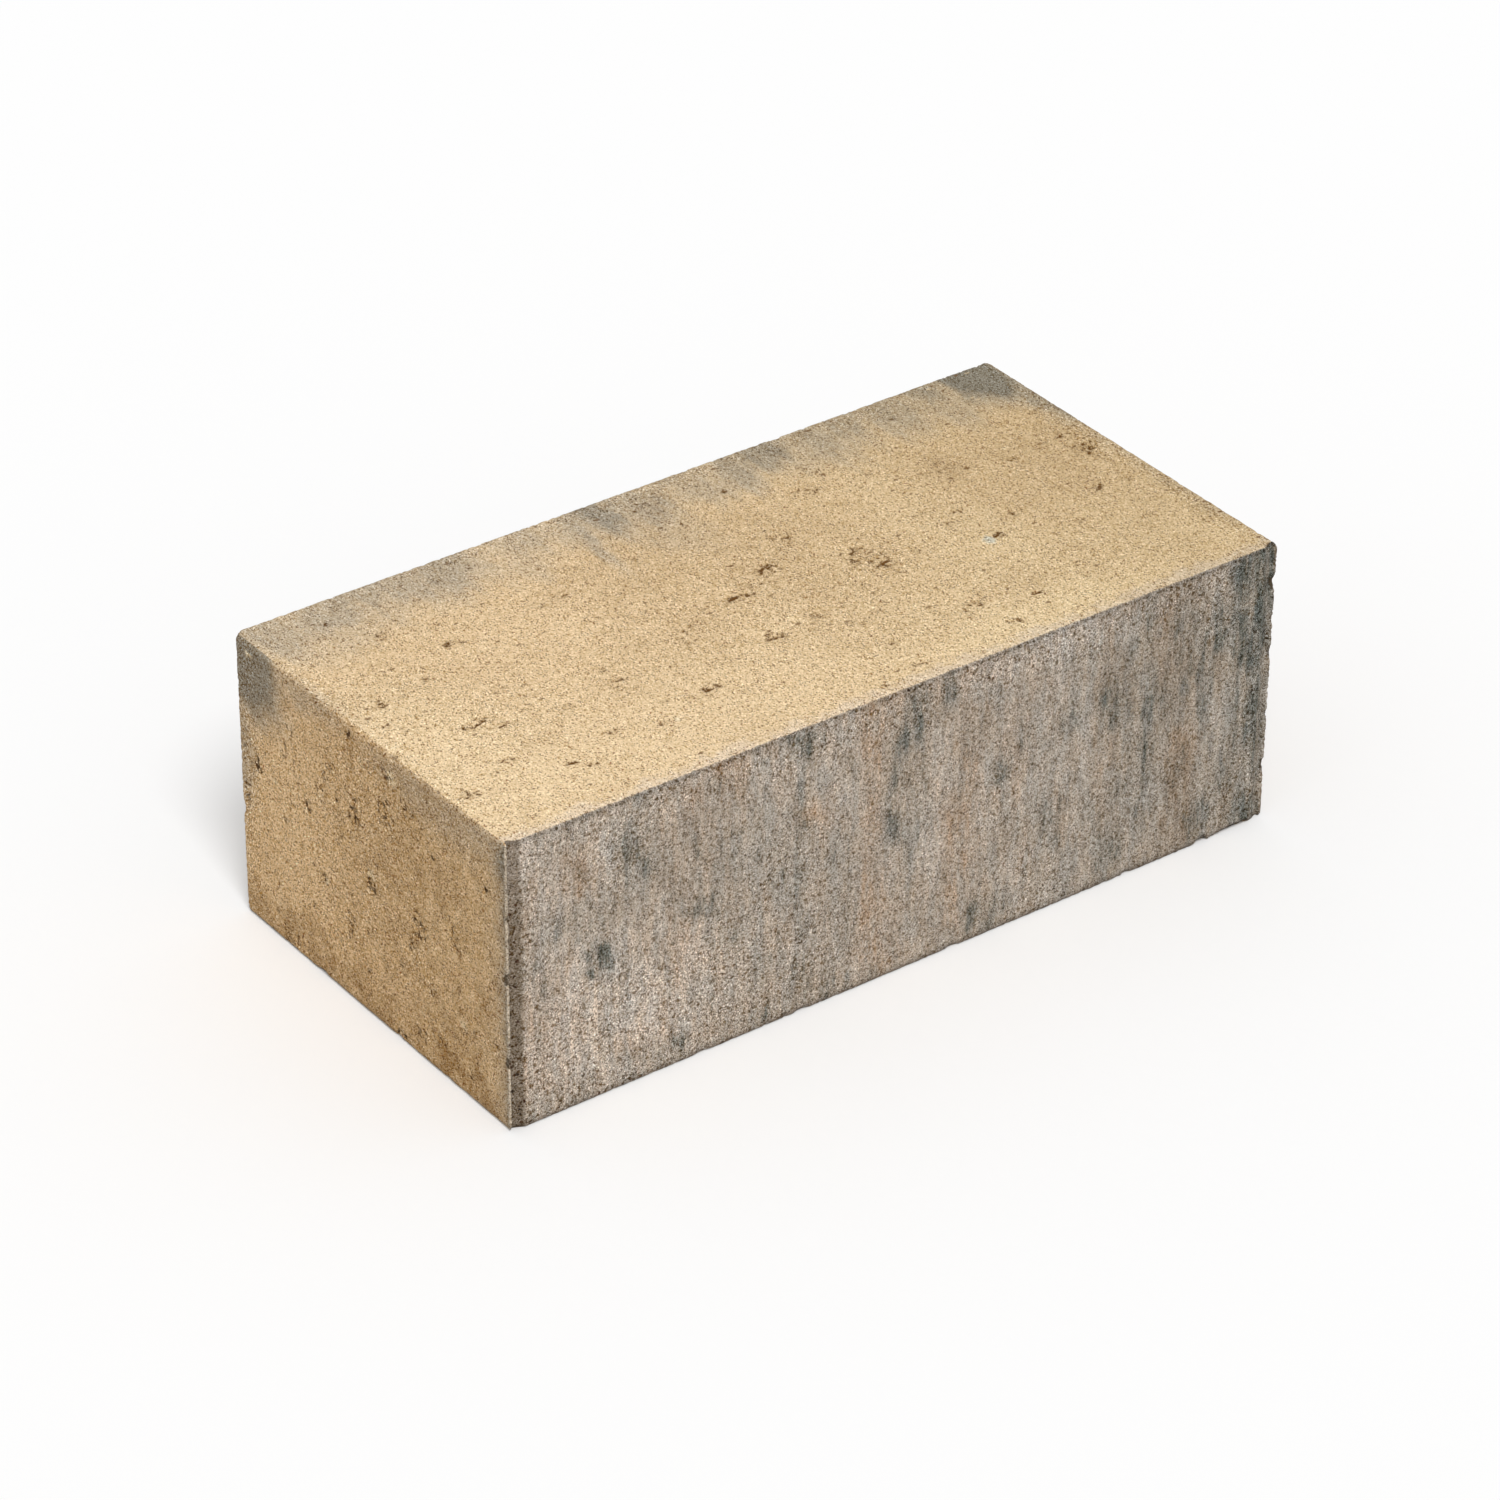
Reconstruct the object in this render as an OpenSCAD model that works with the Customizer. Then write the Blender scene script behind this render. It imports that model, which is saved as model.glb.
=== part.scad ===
// Dry-cast concrete wall block: one solid unit of a dry-laid garden wall.
//
// The block is pressed on its rear face, with the facing upwards. The mould box
// gives the bed faces and the ends, and the corner radius on the four edges that
// run from the facing to the rear. The press plate gives the facing, with a bevel
// along each short edge. Beside each bevel a thin fin stands at the mould wall,
// where concrete was squeezed up between the plate and the mould.
//
// Frame: millimetres, +Z up. X runs along the wall, the facing looks towards -Y,
// and the origin is the middle of the lower bed face.

/* [Block] */
// Length along the wall
block_l = 300; // [150:1:600]
// Depth from the facing to the rear face
block_d = 150; // [80:1:300]
// Height, which is one course of the wall
block_h = 105; // [60:1:200]

/* [Mould box] */
// Radius of the four edges that run from the facing to the rear
mould_r = 2; // [0.5:0.1:12]

/* [Press plate bevels] */
// Width of the bevel on the facing, measured from the end face
bevel_w = 5.5; // [4:0.1:15]
// Depth of the bevel behind the facing, at the root of the fin
bevel_drop = 2; // [1:0.1:6]

/* [Fins] */
// Thickness of a fin at its tip
fin_tip_t = 0.6; // [0.3:0.05:0.9]
// Thickness of a fin at its root
fin_root_t = 1.3; // [1:0.05:3]
// Distance from the facing back to the tip of a fin
fin_gap = 0.3; // [0.1:0.05:0.8]
// Radius in the hollow between a bevel and its fin
hollow_r = 0.4; // [0.1:0.05:0.6]

/* [Worn edges] */
// Radius along the two long edges of the facing
facing_r = 1; // [0.3:0.1:5]
// Radius round the rear face
rear_r = 1.5; // [0.3:0.1:8]

/* [Hidden] */
// Smoothness of the round edges
$fn = 48;
// How far a cutter runs past the face it cuts
past = 1;
// Angles of the bevel and of the fin's inner flank, measured from the facing
bevel_angle = atan2(bevel_drop, bevel_w - fin_root_t);
flank_angle = atan2(bevel_drop - fin_gap, fin_root_t - fin_tip_t);
// Distance from the root of a fin to the centre of the hollow's radius,
// which lies half way between the two slopes that it touches
hollow_angle = (180 - bevel_angle - flank_angle) / 2;
hollow_reach = hollow_r / sin(hollow_angle);
hollow_lean = 90 - (flank_angle - bevel_angle) / 2;

// What an edge of radius r takes from a corner at the origin, in the quadrant +X +Y
module corner_waste(r) {
  difference() {
    translate([-past, -past])
      square(r + past);
    translate([r, r])
      circle(r);
  }
}

// Mirrors what it is given to both ends of the block
module both_ends() {
  for (side = [0, 1])
    mirror([side, 0])
      children();
}

// What the press plate and its gap leave empty at one short edge of the facing,
// with the end face at X = 0 and the facing at Y = 0
module bevel_waste() {
  difference() {
    polygon([
      [-past, -past],
      [bevel_w, -past],
      [bevel_w, 0],
      [fin_root_t, bevel_drop],
      [fin_tip_t, fin_gap],
      [-past, fin_gap]
    ]);
    hollow_fill();
  }
}

// The concrete that rounds the hollow between the bevel and the fin
module hollow_fill() {
  translate([fin_root_t, bevel_drop])
    rotate(-hollow_lean)
      difference() {
        polygon([
          [0, 0],
          hollow_r / tan(hollow_angle) * [cos(hollow_angle), sin(hollow_angle)],
          hollow_r / tan(hollow_angle) * [cos(hollow_angle), -sin(hollow_angle)]
        ]);
        translate([hollow_reach, 0])
          circle(hollow_r);
      }
}

// Outline seen from above: bevels and fins at the facing, worn edges at the rear
module plan_outline() {
  difference() {
    square([block_l, block_d], center = true);
    both_ends() {
      translate([-block_l / 2, -block_d / 2])
        bevel_waste();
      translate([-block_l / 2, block_d / 2])
        mirror([0, 1])
          corner_waste(rear_r);
    }
  }
}

// Outline of the mould box, seen from the front
module mould_outline() {
  difference() {
    translate([-block_l / 2, 0])
      square([block_l, block_h]);
    both_ends() {
      translate([-block_l / 2, 0])
        corner_waste(mould_r);
      translate([-block_l / 2, block_h])
        mirror([0, 1])
          corner_waste(mould_r);
    }
  }
}

// Outline seen from the end, with the facing at -X: the worn edges of both faces
module end_outline() {
  difference() {
    translate([-block_d / 2, 0])
      square([block_d, block_h]);
    translate([-block_d / 2, 0])
      corner_waste(facing_r);
    translate([-block_d / 2, block_h])
      mirror([0, 1])
        corner_waste(facing_r);
    translate([block_d / 2, 0])
      mirror([1, 0])
        corner_waste(rear_r);
    translate([block_d / 2, block_h])
      rotate(180)
        corner_waste(rear_r);
  }
}

// The whole block is what the three outlines share
module wall_block() {
  color([0.78, 0.69, 0.55])
    intersection() {
      linear_extrude(block_h)
        plan_outline();
      rotate([90, 0, 0])
        linear_extrude(block_d, center = true)
          mould_outline();
      rotate([90, 0, 90])
        linear_extrude(block_l, center = true)
          end_outline();
    }
}

wall_block();
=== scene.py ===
"""The finish of a dry-cast concrete wall block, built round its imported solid.

The block is pressed with its facing upwards. The facing is a thin grey-brown mix,
mottled with streaks of grey, rust and cream pigment, and the rest is a sandy mix
that shows on the beds, the ends and the rear. Sizes are in metres unless a comment
says millimetres.
"""

import math
import random

import bmesh
import bpy
from bpy.props import FloatProperty, FloatVectorProperty, IntProperty, PointerProperty
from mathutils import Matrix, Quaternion, Vector, kdtree, noise


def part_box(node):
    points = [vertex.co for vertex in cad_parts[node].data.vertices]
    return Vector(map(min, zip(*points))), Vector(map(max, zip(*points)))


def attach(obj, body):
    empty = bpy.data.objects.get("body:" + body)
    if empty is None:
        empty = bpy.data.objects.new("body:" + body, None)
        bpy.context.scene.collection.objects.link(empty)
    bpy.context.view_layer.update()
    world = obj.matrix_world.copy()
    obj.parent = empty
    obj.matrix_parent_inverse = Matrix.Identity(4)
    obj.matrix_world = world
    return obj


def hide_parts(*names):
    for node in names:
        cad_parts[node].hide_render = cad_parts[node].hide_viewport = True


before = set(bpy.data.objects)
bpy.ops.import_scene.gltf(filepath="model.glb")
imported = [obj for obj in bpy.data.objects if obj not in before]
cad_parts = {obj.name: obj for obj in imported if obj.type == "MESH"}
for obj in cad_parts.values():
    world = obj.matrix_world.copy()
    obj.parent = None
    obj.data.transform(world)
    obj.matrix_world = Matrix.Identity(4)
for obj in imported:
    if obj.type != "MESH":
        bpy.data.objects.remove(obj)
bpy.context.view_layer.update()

bl_info = {
    "name": "Pressed concrete wall block",
    "version": (1, 0, 0),
    "blender": (4, 5, 0),
    "location": "3D View > Sidebar > Wall block",
    "description": "Builds the finished surface of a pressed concrete wall block and its studio",
    "category": "Object",
}

LOW, HIGH = (Vector(corner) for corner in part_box("wall_block"))
MM = 0.001

# What the properties of one kind share
LENGTH = {"subtype": "DISTANCE", "unit": "LENGTH"}
ANGLE = {"subtype": "ANGLE", "unit": "ROTATION"}
COLOUR_VALUE = {"subtype": "COLOR", "size": 4, "min": 0, "max": 1}

# Grid lines near an edge, as shares of the mould's radius, and cells across a bevel
EDGE_LINES = (0, 0.3, 0.65, 1.05, 1.6, 2.3)
BEVEL_CELLS = 5

# Relief, as real shape: width of the lumps of the faces, of the bites along the edges,
# of the crumbs in a tear, and of the ragged outline of a tear or chip
LUMP_SIZE = 3.6 * MM
BITE_SIZE = 1.3 * MM
CRUMB_SIZE = 1.1 * MM
OUTLINE_SIZE = 1.5 * MM
# Crumbs in a tear are this much longer along the block and upright than through it
CRUMB_STRETCH = 1.6
# How fast the bites fade in from an edge, and away from the crumbly rear and right end
BITE_FADE = 0.8 * MM
CRUMBLE_FADE = 3 * MM
# A hollow ends this many half sizes out, give or take the raggedness of its outline, and
# always inside its spread. The steeper its sides, the wider its flat floor
HOLLOW_END = 1.15
RAGGEDNESS = 0.35
HOLLOW_SPREAD = 1.6
HOLLOW_STEEPNESS = 1.6
# Half size of a tear through its own face, and how far to look for a hollow's middle
TEAR_THROUGH = 4 * MM
HOLLOW_SEARCH = 8 * MM
# Scattered tears: the axis that their face looks along, its side, and how many it has
SCATTERED_TEARS = ((2, HIGH, 80), (2, LOW, 90), (0, LOW, 30), (0, HIGH, 60), (1, HIGH, 60))
# Their least and most half width in millimetres, length as a multiple of their width,
# and depth in millimetres, and how far they stay from the edges. Those of the rear are
# round, and as wide as they would be long
TEAR_HALF_WIDTH = (0.8, 1.9)
TEAR_STRETCH = (1.4, 3.0)
TEAR_DEPTH = (0.4, 0.9)
TEAR_MARGIN = 5 * MM

# A point lies on a face where its normal points at least this much that way
ON_FACE = 0.7
# A soft patch ends this many half sizes from its middle
PATCH_END = 1.4
# The facing's streaks are marked this far in, past the edge where its mix ends
PIGMENT_DEPTH = 12 * MM
# Width in millimetres of the clouds of the rear face, and of the grey strip and the damp
# strip of the ends along the facing
REAR_CLOUDS = 30
GREY_STRIP = 5
DAMP_STRIP = 12

# Size of the sand, of the cells that hold a pit or a crumb each, of the pin holes' cells
# and of the crumbs in a tear
COARSE_SAND = 0.00085
FINE_SAND = 0.00034
BODY_PITS = 0.0027
FACING_PITS = 0.0021
PIN_HOLES = 0.0009
TORN_CRUMBS = 0.0008
# Height of the sand and depth of the pits and torn places, for the light alone
COARSE_HEIGHT = 0.00008
FINE_HEIGHT = 0.00004
PIT_DEPTH = 0.00016
TORN_DEPTH = 0.0002

# Tints over a finished colour: painted light on both mixes at the left end and painted shade on each
# at the right end, as light falling off along the block; a painted shade tone of the body mix on the
# ends; and the warmer and cooler strands of the facing
LEFT_PAINTED_LIGHT = (1.06, 1.06, 1.06, 1.0)
RIGHT_BODY_PAINTED_SHADE = (0.87, 0.86, 0.81, 1.0)
RIGHT_FACING_PAINTED_SHADE = (0.85, 0.87, 0.88, 1.0)
END_SHADE_TINT = (1.11, 1.035, 0.94, 1.0)
WARM_STRAND = (1.045, 1.0, 0.945, 1.0)
COOL_STRAND = (0.962, 1.0, 1.03, 1.0)

# Radius of the floor and how many sides it has, and how far the camera sees
FLOOR_RADIUS = 12.0
FLOOR_SIDES = 64
CAMERA_REACH = 40.0

# The lengths in the tables below are in millimetres. Places on the facing are measured
# from its left end and up from the lower bed, on a bed from the middle of the block, and
# on an end from the rear face and up from the lower bed.

# Pigment streaks of the facing: place, half width, half height, how far the foot
# leans to the right, and strength
SLATE_STREAKS = (
    (46, 85, 9, 13, 2, 0.68), (32, 53, 4, 6, 3, 1.2), (25, 84, 4, 6, 0, 0.6),
    (26, 68, 9, 8, 0, 0.45), (73, 53, 6, 7, 5, 0.7), (82, 44, 6, 8, 2, 0.3),
    (111, 99, 8, 7, 1, 0.9), (64, 74, 14, 20, 2, 0.35), (88, 72, 16, 18, 2, 0.4),
    (98, 58, 14, 18, 2, 0.35), (108, 50, 4, 20, 1, 0.5), (78, 94, 10, 10, 2, 0.3),
    (42, 102, 14, 6, 0, 0.4), (124, 46, 6, 30, 0, 0.3), (56, 104, 10, 5, 0, 0.3),
    (147, 80, 4, 17, -3, 0.85), (145, 56, 5, 10, 3, 0.65), (151, 40, 3, 14, 1, 0.3),
    (188, 90, 4, 10, -1, 0.25), (187, 61, 3, 8, 0, 0.85), (190, 36, 4, 12, 2, 0.25),
    (198, 56, 2, 12, 1, 0.2), (206, 34, 3, 14, 0, 0.5), (204, 12, 6, 8, 0, 0.4),
    (236, 66, 5, 20, 2, 0.6), (243, 84, 8, 18, 1, 0.5), (237, 38, 4, 14, 0, 0.4),
    (235, 14, 5, 12, 0, 0.8), (249, 56, 5, 26, 1, 0.65), (232, 80, 5, 14, 0, 0.6),
    (259, 78, 8, 18, 0, 0.6), (259, 56, 6, 14, 0, 0.5), (262, 26, 8, 24, 0, 0.4),
    (277, 82, 4, 9, 1, 0.85), (272, 50, 5, 20, 0, 0.4), (284, 84, 8, 14, 0, 0.6),
    (291, 50, 9, 28, 0, 0.65), (284, 22, 9, 20, 2, 0.55), (296, 92, 6, 14, 0, 0.9),
    (271, 10, 6, 12, 0, 0.85), (297, 40, 4, 60, 0, 0.6), (268, 84, 4, 18, 0, 0.5),
    (178, 8, 4, 9, 0, 0.9), (166, 94, 5, 8, 0, 0.45), (104, 6, 22, 8, 0, 0.5),
    (217, 36, 2, 20, 0, 0.2), (203, 78, 3, 14, 0, 0.15), (174, 76, 3, 14, 0, 0.2),
    (154, 96, 6, 8, 0, 0.5), (22, 8, 8, 8, 0, 0.4), (7, 60, 8, 18, 0, 0.45), (38, 68, 8, 8, 0, 0.5),
    (53, 80, 10, 18, 0, 0.4), (52, 8, 12, 10, 0, 0.4), (82, 76, 10, 14, 0, 0.5),
    (97, 67, 8, 8, 0, 0.5), (97, 22, 8, 8, 0, 0.4), (112, 10, 8, 10, 0, 0.5),
    (112, 67, 7, 8, 0, 0.35), (127, 82, 6, 8, 0, 0.35), (187, 7, 8, 8, 0, 0.5),
    (217, 67, 5, 8, 0, 0.45), (247, 84, 7, 10, 0, 0.45), (249, 62, 7, 16, 0, 0.8),
    (234, 68, 8, 10, 0, 0.68), (247, 20, 6, 10, 0, 0.45), (262, 68, 8, 10, 0, 0.65),
    (262, 20, 10, 26, 0, 0.52), (262, 98, 8, 8, 0, 0.35), (290, 98, 12, 12, 0, 1.15),
    (292, 80, 8, 14, 0, 1.0), (292, 68, 8, 14, 0, 1.15), (292, 6, 11, 10, 0, 0.75),
    (22, 92, 8, 12, 0, 0.35), (75, 68, 44, 12, 0, 0.3),
)
RUST_STREAKS = (
    (262, 24, 9, 30, 0, 1.0), (257, 82, 10, 24, 0, 0.9), (231, 80, 5, 18, 0, 0.9),
    (231, 40, 4, 20, 1, 0.5), (172, 36, 7, 30, 0, 1.0), (169, 16, 9, 10, 0, 0.7),
    (136, 26, 7, 26, 0, 1.1), (138, 92, 7, 18, 0, 1.1), (136, 60, 5, 20, 0, 0.7),
    (212, 36, 3, 14, 0, 0.7), (225, 50, 3, 30, 0, 0.2), (115, 73, 7, 6, 1, 0.9),
    (62, 44, 8, 16, 2, 0.7), (190, 54, 8, 14, 0, 0.35), (25, 86, 6, 12, 0, 1.2),
    (38, 72, 6, 6, 1, 0.4), (174, 62, 5, 14, 0, 0.7), (72, 92, 18, 14, 0, 0.65),
    (194, 62, 3, 12, 0, 0.5), (245, 70, 3, 16, 0, 0.2), (180, 99, 18, 6, 0, 0.5),
    (240, 102, 12, 4, 0, 0.4), (12, 34, 14, 30, 0, 0.5), (50, 16, 14, 10, 0, 0.4),
    (66, 70, 14, 14, 0, 0.4), (98, 8, 22, 8, 0, 0.4), (172, 60, 10, 50, 0, 0.6),
    (142, 99, 9, 8, 0, 0.8), (82, 99, 9, 7, 0, 0.8), (262, 99, 9, 7, 0, 0.8),
    (262, 6, 9, 9, 0, 0.8), (7, 60, 8, 40, 0, 0.4), (262, 60, 9, 50, 0, 0.5),
    (142, 84, 9, 24, 0, 0.5), (142, 12, 10, 14, 0, 0.6), (195, 84, 12, 20, 0, 0.4),
    (232, 70, 7, 30, 0, 0.45), (157, 98, 10, 8, 0, 0.5), (190, 24, 14, 14, 0, 0.35),
)
CREAM_STREAKS = (
    (17, 84, 6, 12, 0, 0.55), (36, 88, 5, 10, 0, 0.75), (12, 52, 8, 22, 0, 0.7),
    (46, 30, 18, 20, 6, 1.0), (66, 38, 9, 18, 4, 0.9), (20, 24, 12, 20, 0, 1.0),
    (64, 20, 14, 12, 4, 0.7), (98, 90, 6, 9, 1, 0.5), (110, 86, 3, 8, 0, 0.5),
    (121, 74, 8, 14, 2, 0.9), (160, 48, 5, 28, 1, 1.0), (164, 70, 6, 14, 0, 0.6),
    (172, 44, 14, 26, 0, 0.6), (210, 84, 5, 18, 0, 0.7), (219, 50, 7, 26, 0, 0.8),
    (196, 80, 7, 16, 0, 0.4), (208, 99, 40, 8, 0, 1.1), (277, 99, 8, 8, 0, 0.8),
    (188, 58, 12, 24, 0, 0.6), (210, 46, 12, 26, 0, 0.5), (200, 16, 16, 14, 0, 0.45),
    (254, 8, 6, 10, 0, 0.5), (245, 18, 4, 16, 0, 0.4), (128, 24, 8, 20, 2, 0.35),
    (192, 22, 8, 14, 0, 0.6), (279, 40, 5, 22, 0, 0.5), (142, 40, 10, 24, 0, 0.35),
    (270, 54, 6, 16, 0, 0.6), (218, 16, 8, 18, 0, 0.6), (35, 10, 22, 10, 0, 0.5),
    (260, 100, 8, 5, 0, 0.5), (8, 98, 8, 8, 0, 0.8), (24, 52, 8, 8, 0, 0.5), (67, 54, 8, 8, 0, 0.6),
    (202, 75, 8, 30, 0, 0.4), (187, 68, 8, 30, 0, 0.5), (22, 38, 8, 8, 0, 0.9),
    (188, 40, 8, 8, 0, 0.8), (202, 53, 7, 8, 0, 0.7), (40, 52, 5, 8, 0, 0.7),
    (127, 7, 8, 8, 0, 0.5),
)
# Grey smears at the rear of the beds: along, depth from the rear face, half width,
# half depth, and strength
REAR_SMEARS = (
    (-142, 8, 14, 20, 0.6), (-120, 8, 20, 18, 0.6), (-92, 8, 14, 16, 0.6), (-110, 6, 44, 16, 0.4),
    (-76, 8, 16, 20, 0.65), (-56, 2, 14, 16, 0.35), (-28, 10, 4, 30, 0.62), (-14, 6, 26, 16, 0.6),
    (-17, 8, 8, 22, 0.82), (-2, 10, 14, 18, 0.6), (14, 3, 12, 10, 0.5), (36, 8, 7, 20, 0.7),
    (50, 5, 12, 14, 0.75), (70, 6, 10, 18, 0.6), (60, 4, 50, 10, 0.5), (86, 3, 10, 12, 0.6),
    (102, 6, 14, 22, 0.6), (118, 2, 10, 12, 0.7), (138, 6, 14, 24, 1.2), (148, 26, 8, 26, 0.7),
    (-4, 30, 14, 16, 0.25), (150, -20, 6, 200, 0.3), (0, 0, 300, 6, 0.45), (-150, 30, 4, 60, 0.2),
    (-108, 14, 56, 14, 0.35), (22, 14, 12, 14, 0.5), (70, 12, 30, 16, 0.4), (120, 14, 26, 18, 0.45),
    (82, 6, 10, 14, 0.6), (-45, 6, 12, 14, 0.5), (-105, 4, 14, 12, 0.65), (-53, 20, 10, 12, 0.3),
    (-124, 20, 26, 16, 0.3),
)
# Damper, browner places of the beds, or paler ones below 0: along, from the middle to
# the rear, half width, half depth, and strength
BED_DAMP = (
    (-20, 34, 34, 26, 0.5), (6, 10, 16, 12, 0.5), (-30, 0, 18, 14, 0.3), (93, 26, 6, 12, 0.5),
    (143, 20, 8, 40, 0.35), (40, -8, 10, 8, 0.3), (118, 4, 14, 20, 0.2), (-90, 40, 20, 10, 0.15),
    (8, 14, 20, 50, 0.4), (-50, 6, 8, 14, 0.35), (62, -66, 42, 12, -0.9), (78, -20, 16, 26, -0.5),
    (148, -40, 6, 20, 0.6), (-134, -24, 26, 56, -0.5), (67, 6, 18, 50, -0.4),
)
# Torn places of the upper bed and the left end, where the skin came away in crumbs: place,
# half length (along the block on the bed, upright on the end), half width, and depth
BED_TEARS = (
    (-132, 29, 2, 1, 0.7), (-97, 27, 3, 2, 0.8), (-138, 13, 5, 3, 0.9), (-142, 2, 3, 2, 0.8),
    (-119, -14, 6, 3, 1.3), (-114, -19, 5, 2, 0.8), (-142, -46, 6, 2, 1.1), (-15, -26, 5, 4, 1.0),
    (-9, 0, 7, 2, 1.3), (-2, 2, 5, 2, 0.6), (-34, -5, 6, 4, 0.7), (-38, -12, 4, 3, 0.5),
    (8, 8, 6, 4, 1.0), (39, -9, 5, 4, 1.4), (35, -4, 5, 5, 0.6), (50, 39, 5, 3, 0.7),
    (70, 38, 4, 2, 0.7), (139, 9, 5, 5, 1.0), (116, 25, 2, 2, 0.8), (129, 21, 2, 2, 0.7),
    (47, -48, 4, 2, 1.2), (69, -53, 4, 2, 1.2), (12, -51, 3, 2, 0.9), (96, -51, 3, 1, 0.9),
    (80, -17, 3, 3, 1.2), (125, -13, 4, 2, 1.1), (108, -20, 3, 2, 0.6), (-56, 34, 7, 3, 0.5),
    (-61, 31, 3, 2, 0.7), (-115, 44, 2, 2, 0.8), (5, -24, 5, 3, 0.6), (20, -32, 2, 1, 0.8),
    (-140, 20, 2, 1, 0.6), (24, 21, 7, 3, 0.5), (48, 42, 4, 2, 0.5), (60, -42, 2, 1, 0.8),
    (-92, 9, 2, 1, 0.6), (-44, -30, 2, 1, 0.6), (2, 64, 10, 4, 0.5), (92, 23, 5, 8, 0.5),
    (88, -47, 3, 2, 0.6),
)
END_TEARS = (
    (11, 61, 3, 2, 1.5), (67, 72, 7, 5, 0.8), (75, 50, 5, 4, 1.1), (102, 49, 6, 5, 0.9),
    (62, 29, 6, 3, 0.9), (39, 59, 5, 3, 0.9), (47, 37, 3, 3, 0.8), (109, 78, 1, 1, 1.3),
    (64, 100, 3, 2, 1.0), (65, 91, 5, 2, 0.6), (84, 80, 8, 6, 0.7), (86, 96, 4, 3, 0.6),
    (54, 82, 4, 3, 0.7), (92, 92, 4, 2, 0.6), (4, 47, 5, 2, 0.9), (72, 14, 4, 2, 0.9),
    (121, 54, 8, 2, 0.8), (41, 24, 2, 2, 0.7), (50, 78, 6, 3, 0.5), (90, 2, 2, 4, 1.4),
    (28, 5, 4, 8, 0.6), (110, 14, 8, 10, 0.35), (128, 8, 4, 2, 0.9), (97, 38, 5, 3, 0.6),
    (91, 28, 4, 3, 0.7), (108, 28, 3, 2, 0.6), (8, 58, 3, 2, 0.8), (3, 66, 8, 2, 0.5),
    (45, 70, 5, 2, 0.5), (58, 60, 5, 3, 0.4), (125, 24, 3, 2, 0.6), (79, 62, 6, 4, 0.4),
)
# Stones that show in the upper bed and the left end: place, half sizes along the same
# measures, and how far they differ from the sand
BED_STONES = (
    (76, -19, 2.6, 3.6, 1.0), (-4, -21, 2.0, 4.2, 0.3), (31, -38, 2.2, 1.6, 0.5),
    (-68, -48, 1.6, 1.8, 0.5), (86, -48, 2.0, 1.4, 0.4), (120, -18, 2.6, 1.8, 0.35),
    (-12, -24, 3.2, 2.4, 0.2), (-147, -11, 3.0, 1.6, 0.5), (22, -52, 2.0, 1.4, 0.4),
    (117, 25, 1.4, 1.2, 0.5), (-62, -46, 1.4, 1.4, 0.4), (50, -30, 1.6, 1.2, 0.3),
)
END_STONES = (
    (88, 96, 3, 3, 0.35), (52, 93, 1.4, 1.6, 0.3), (75, 54, 2.4, 2, 0.3), (21, 60, 2.4, 2, 0.3),
    (8, 100, 2, 1.6, 0.3), (125, 26, 2, 2, 0.3), (49, 38, 1.4, 1.4, 0.4), (71, 93, 1.6, 1.2, 0.4),
)
# Grey stains of the two ends: depth from the rear face, height, half depth, half
# height, and strength
LEFT_STAINS = (
    (4, 97, 25, 23, 1.1), (1, 72, 9, 36, 0.6), (0, 24, 5, 26, 0.1), (118, 101, 46, 12, 0.4),
    (34, 104, 30, 9, 0.5),
)
RIGHT_STAINS = (
    (2, 96, 26, 22, 0.85), (3, 62, 10, 30, 0.6), (12, 76, 10, 9, 0.45), (2, 22, 8, 26, 0.5),
    (60, 102, 50, 8, 0.45), (75, 0, 90, 8, 0.4), (100, 60, 34, 20, 0.2),
)
# Damper, browner places of the two ends, on the same measures; those along the lower bed are painted
# shade at their foot
END_DAMP_AND_SHADE = (
    (106, 97, 54, 18, 1.3), (118, 10, 40, 16, 0.9), (75, 2, 110, 15, 1.8), (76, 78, 26, 30, 0.6),
    (112, 54, 60, 70, 1.3), (55, 94, 20, 16, 0.4), (8, 6, 14, 8, 0.5), (124, 3, 36, 11, 2.9),
    (17, 24, 14, 11, -0.5),
)
# Open, coarser places of the facing, the beds and the ends: place, half sizes along the
# same measures, and strength
OPEN_FACING = (
    (150, 101, 175, 10, 0.9), (45, 16, 85, 34, 1.0), (6, 55, 12, 70, 0.6), (297, 50, 10, 70, 0.9),
    (37, 86, 12, 14, 0.7), (278, 88, 10, 12, 0.8), (105, 55, 16, 20, 0.6), (203, 16, 14, 16, 0.5),
    (187, 50, 8, 14, 0.4), (240, 30, 20, 16, 0.3), (284, 10, 12, 12, 0.6),
)
OPEN_BED = (
    (0, 75, 175, 9, 1.0), (0, -8, 60, 34, 0.35), (60, -45, 60, 22, 0.3), (-130, 5, 25, 20, 0.35),
    (-110, -16, 26, 14, 0.4), (147, 10, 7, 80, 1.0), (-147, 10, 6, 60, 0.5), (40, -8, 16, 12, 0.6),
)
OPEN_END = (
    (74, 88, 30, 22, 0.7), (3, 60, 9, 70, 1.0), (70, 55, 34, 34, 0.5), (97, 36, 14, 12, 0.5),
    (60, 26, 34, 22, 0.3), (112, 96, 24, 12, 0.3), (40, 60, 20, 24, 0.3),
)
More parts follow.
